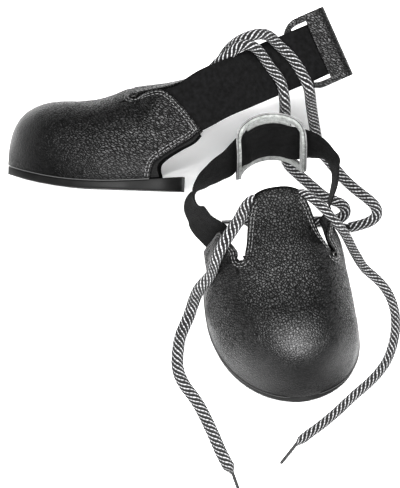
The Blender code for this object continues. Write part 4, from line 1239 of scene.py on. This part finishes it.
def make_bead(cover, facts, finishes):
    """A fine bead where the upper meets the sole."""
    off = 0.0001
    along_x = np.linspace(BEAD_END, 0.002, 90)
    bead = [(x, half_width(x, "outer") + off, sole_top(x)) for x in along_x]
    bead += [(x, -half_width(x, "inner") - off, sole_top(x)) for x in along_x[::-1]]
    bead = even_rows(bead, 0.0015)
    matrix = cover_matrix(facts)
    rings = []
    for place, ahead in zip(bead, np.gradient(bead, axis=0), strict=True):
        out = Vector(ahead).cross(UP).normalized()
        rings.append([matrix @ p for p in circle(Vector(place), out, UP, BEAD_RADIUS, 6)])
    show(ring_object(f"{cover}_feather_line", rings), finishes["bead"])


# The picture


def add_camera():
    data = bpy.data.cameras.new("camera")
    lens = 1000 * SENSOR * CAMERA_DISTANCE / FRAME_HEIGHT
    give(data, sensor_fit="VERTICAL", sensor_height=SENSOR * 1000, lens=lens, clip_end=50)
    camera = placed("camera", data)
    camera.location = LOOK_AT + TO_CAMERA * CAMERA_DISTANCE
    camera.rotation_euler = (math.pi / 2 - CAMERA_ELEVATION, 0.0, 0.0)
    bpy.context.scene.camera = camera


def add_light(name, way, distance, size, power):
    data = bpy.data.lights.new(name, "AREA")
    give(data, shape="RECTANGLE", size=size[0], size_y=size[1], energy=power)
    light = placed(name, data)
    way = Vector(way).normalized()
    light.location = LOOK_AT + way * distance
    light.rotation_euler = way.to_track_quat("Z", "Y").to_euler()


def add_floor():
    mesh = bpy.data.meshes.new("floor")
    half = FLOOR_SIZE / 2
    corners = [(x * half, y * half, FLOOR_Z) for x, y in ((-1, -1), (1, -1), (1, 1), (-1, 1))]
    mesh.from_pydata(corners, [], [(0, 1, 2, 3)])
    floor = placed("floor", mesh)
    glow = {"Emission_Color": (1.0, 1.0, 1.0, 1.0), "Emission_Strength": 0.14}
    mesh.materials.append(plain_material("floor", (0.92, 0.92, 0.92), 0.9, Specular_IOR_Level=0.1, **glow))


def add_world():
    world = bpy.data.worlds.new("world")
    world.use_nodes = True
    background = world.node_tree.nodes["Background"]
    background.inputs["Color"].default_value = (0.95, 0.96, 0.97, 1.0)
    background.inputs["Strength"].default_value = 0.1
    bpy.context.scene.world = world


def make_finishes():
    return {
        "leather": leather_material(),
        "flesh": suede_material("flesh", (0.035, 0.033, 0.031), (0.09, 0.088, 0.085)),
        "raw": suede_material("raw edge", (0.06, 0.06, 0.06), (0.22, 0.22, 0.22)),
        "felt": suede_material("felt", (0.05, 0.051, 0.05), (0.30, 0.31, 0.30)),
        "rubber": rubber_material(),
        "elastic": elastic_material(),
        "lining": lining_material(),
        "lace": lace_material(),
        "thread": plain_material("thread", (0.14, 0.14, 0.14), 0.45),
        "bead": plain_material("bead", (0.055, 0.055, 0.055), 0.4),
        "toe_cap": plain_material("steel", (0.45, 0.46, 0.48), 0.4, Metallic=1.0),
        "aglet": plain_material("plastic", (0.03, 0.03, 0.03), 0.35),
    }


def main():
    add_camera()
    finishes = make_finishes()
    surface = lace_surface()
    for name in LACES:
        make_lace(name, surface, finishes["lace"])
    for cover, facts in COVERS.items():
        make_vamp(cover, facts, finishes)
        make_sole(cover, facts, finishes)
        make_bead(cover, facts, finishes)
        for side in SIDES:
            make_lining(cover, facts, side, finishes)
        make_heel_piece(cover, facts, finishes)
        make_strap(cover, facts, finishes)
    for name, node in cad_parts.items():
        for kind in ("toe_cap", "aglet"):
            if kind in name:
                for held in node.material_slots:
                    held.material = finishes[kind]
    add_floor()
    add_world()
    add_light("front", (0.18, -1.0, 1.3), 1.6, (1.3, 0.4), 36)
    add_light("high", (-0.35, -0.6, 1.6), 1.7, (0.35, 0.35), 9)
    add_light("above", (0.0, 0.0, 1.0), 1.9, (0.6, 0.45), 34)
    give(bpy.context.scene.view_settings, view_transform="Standard", look="High Contrast")


main()
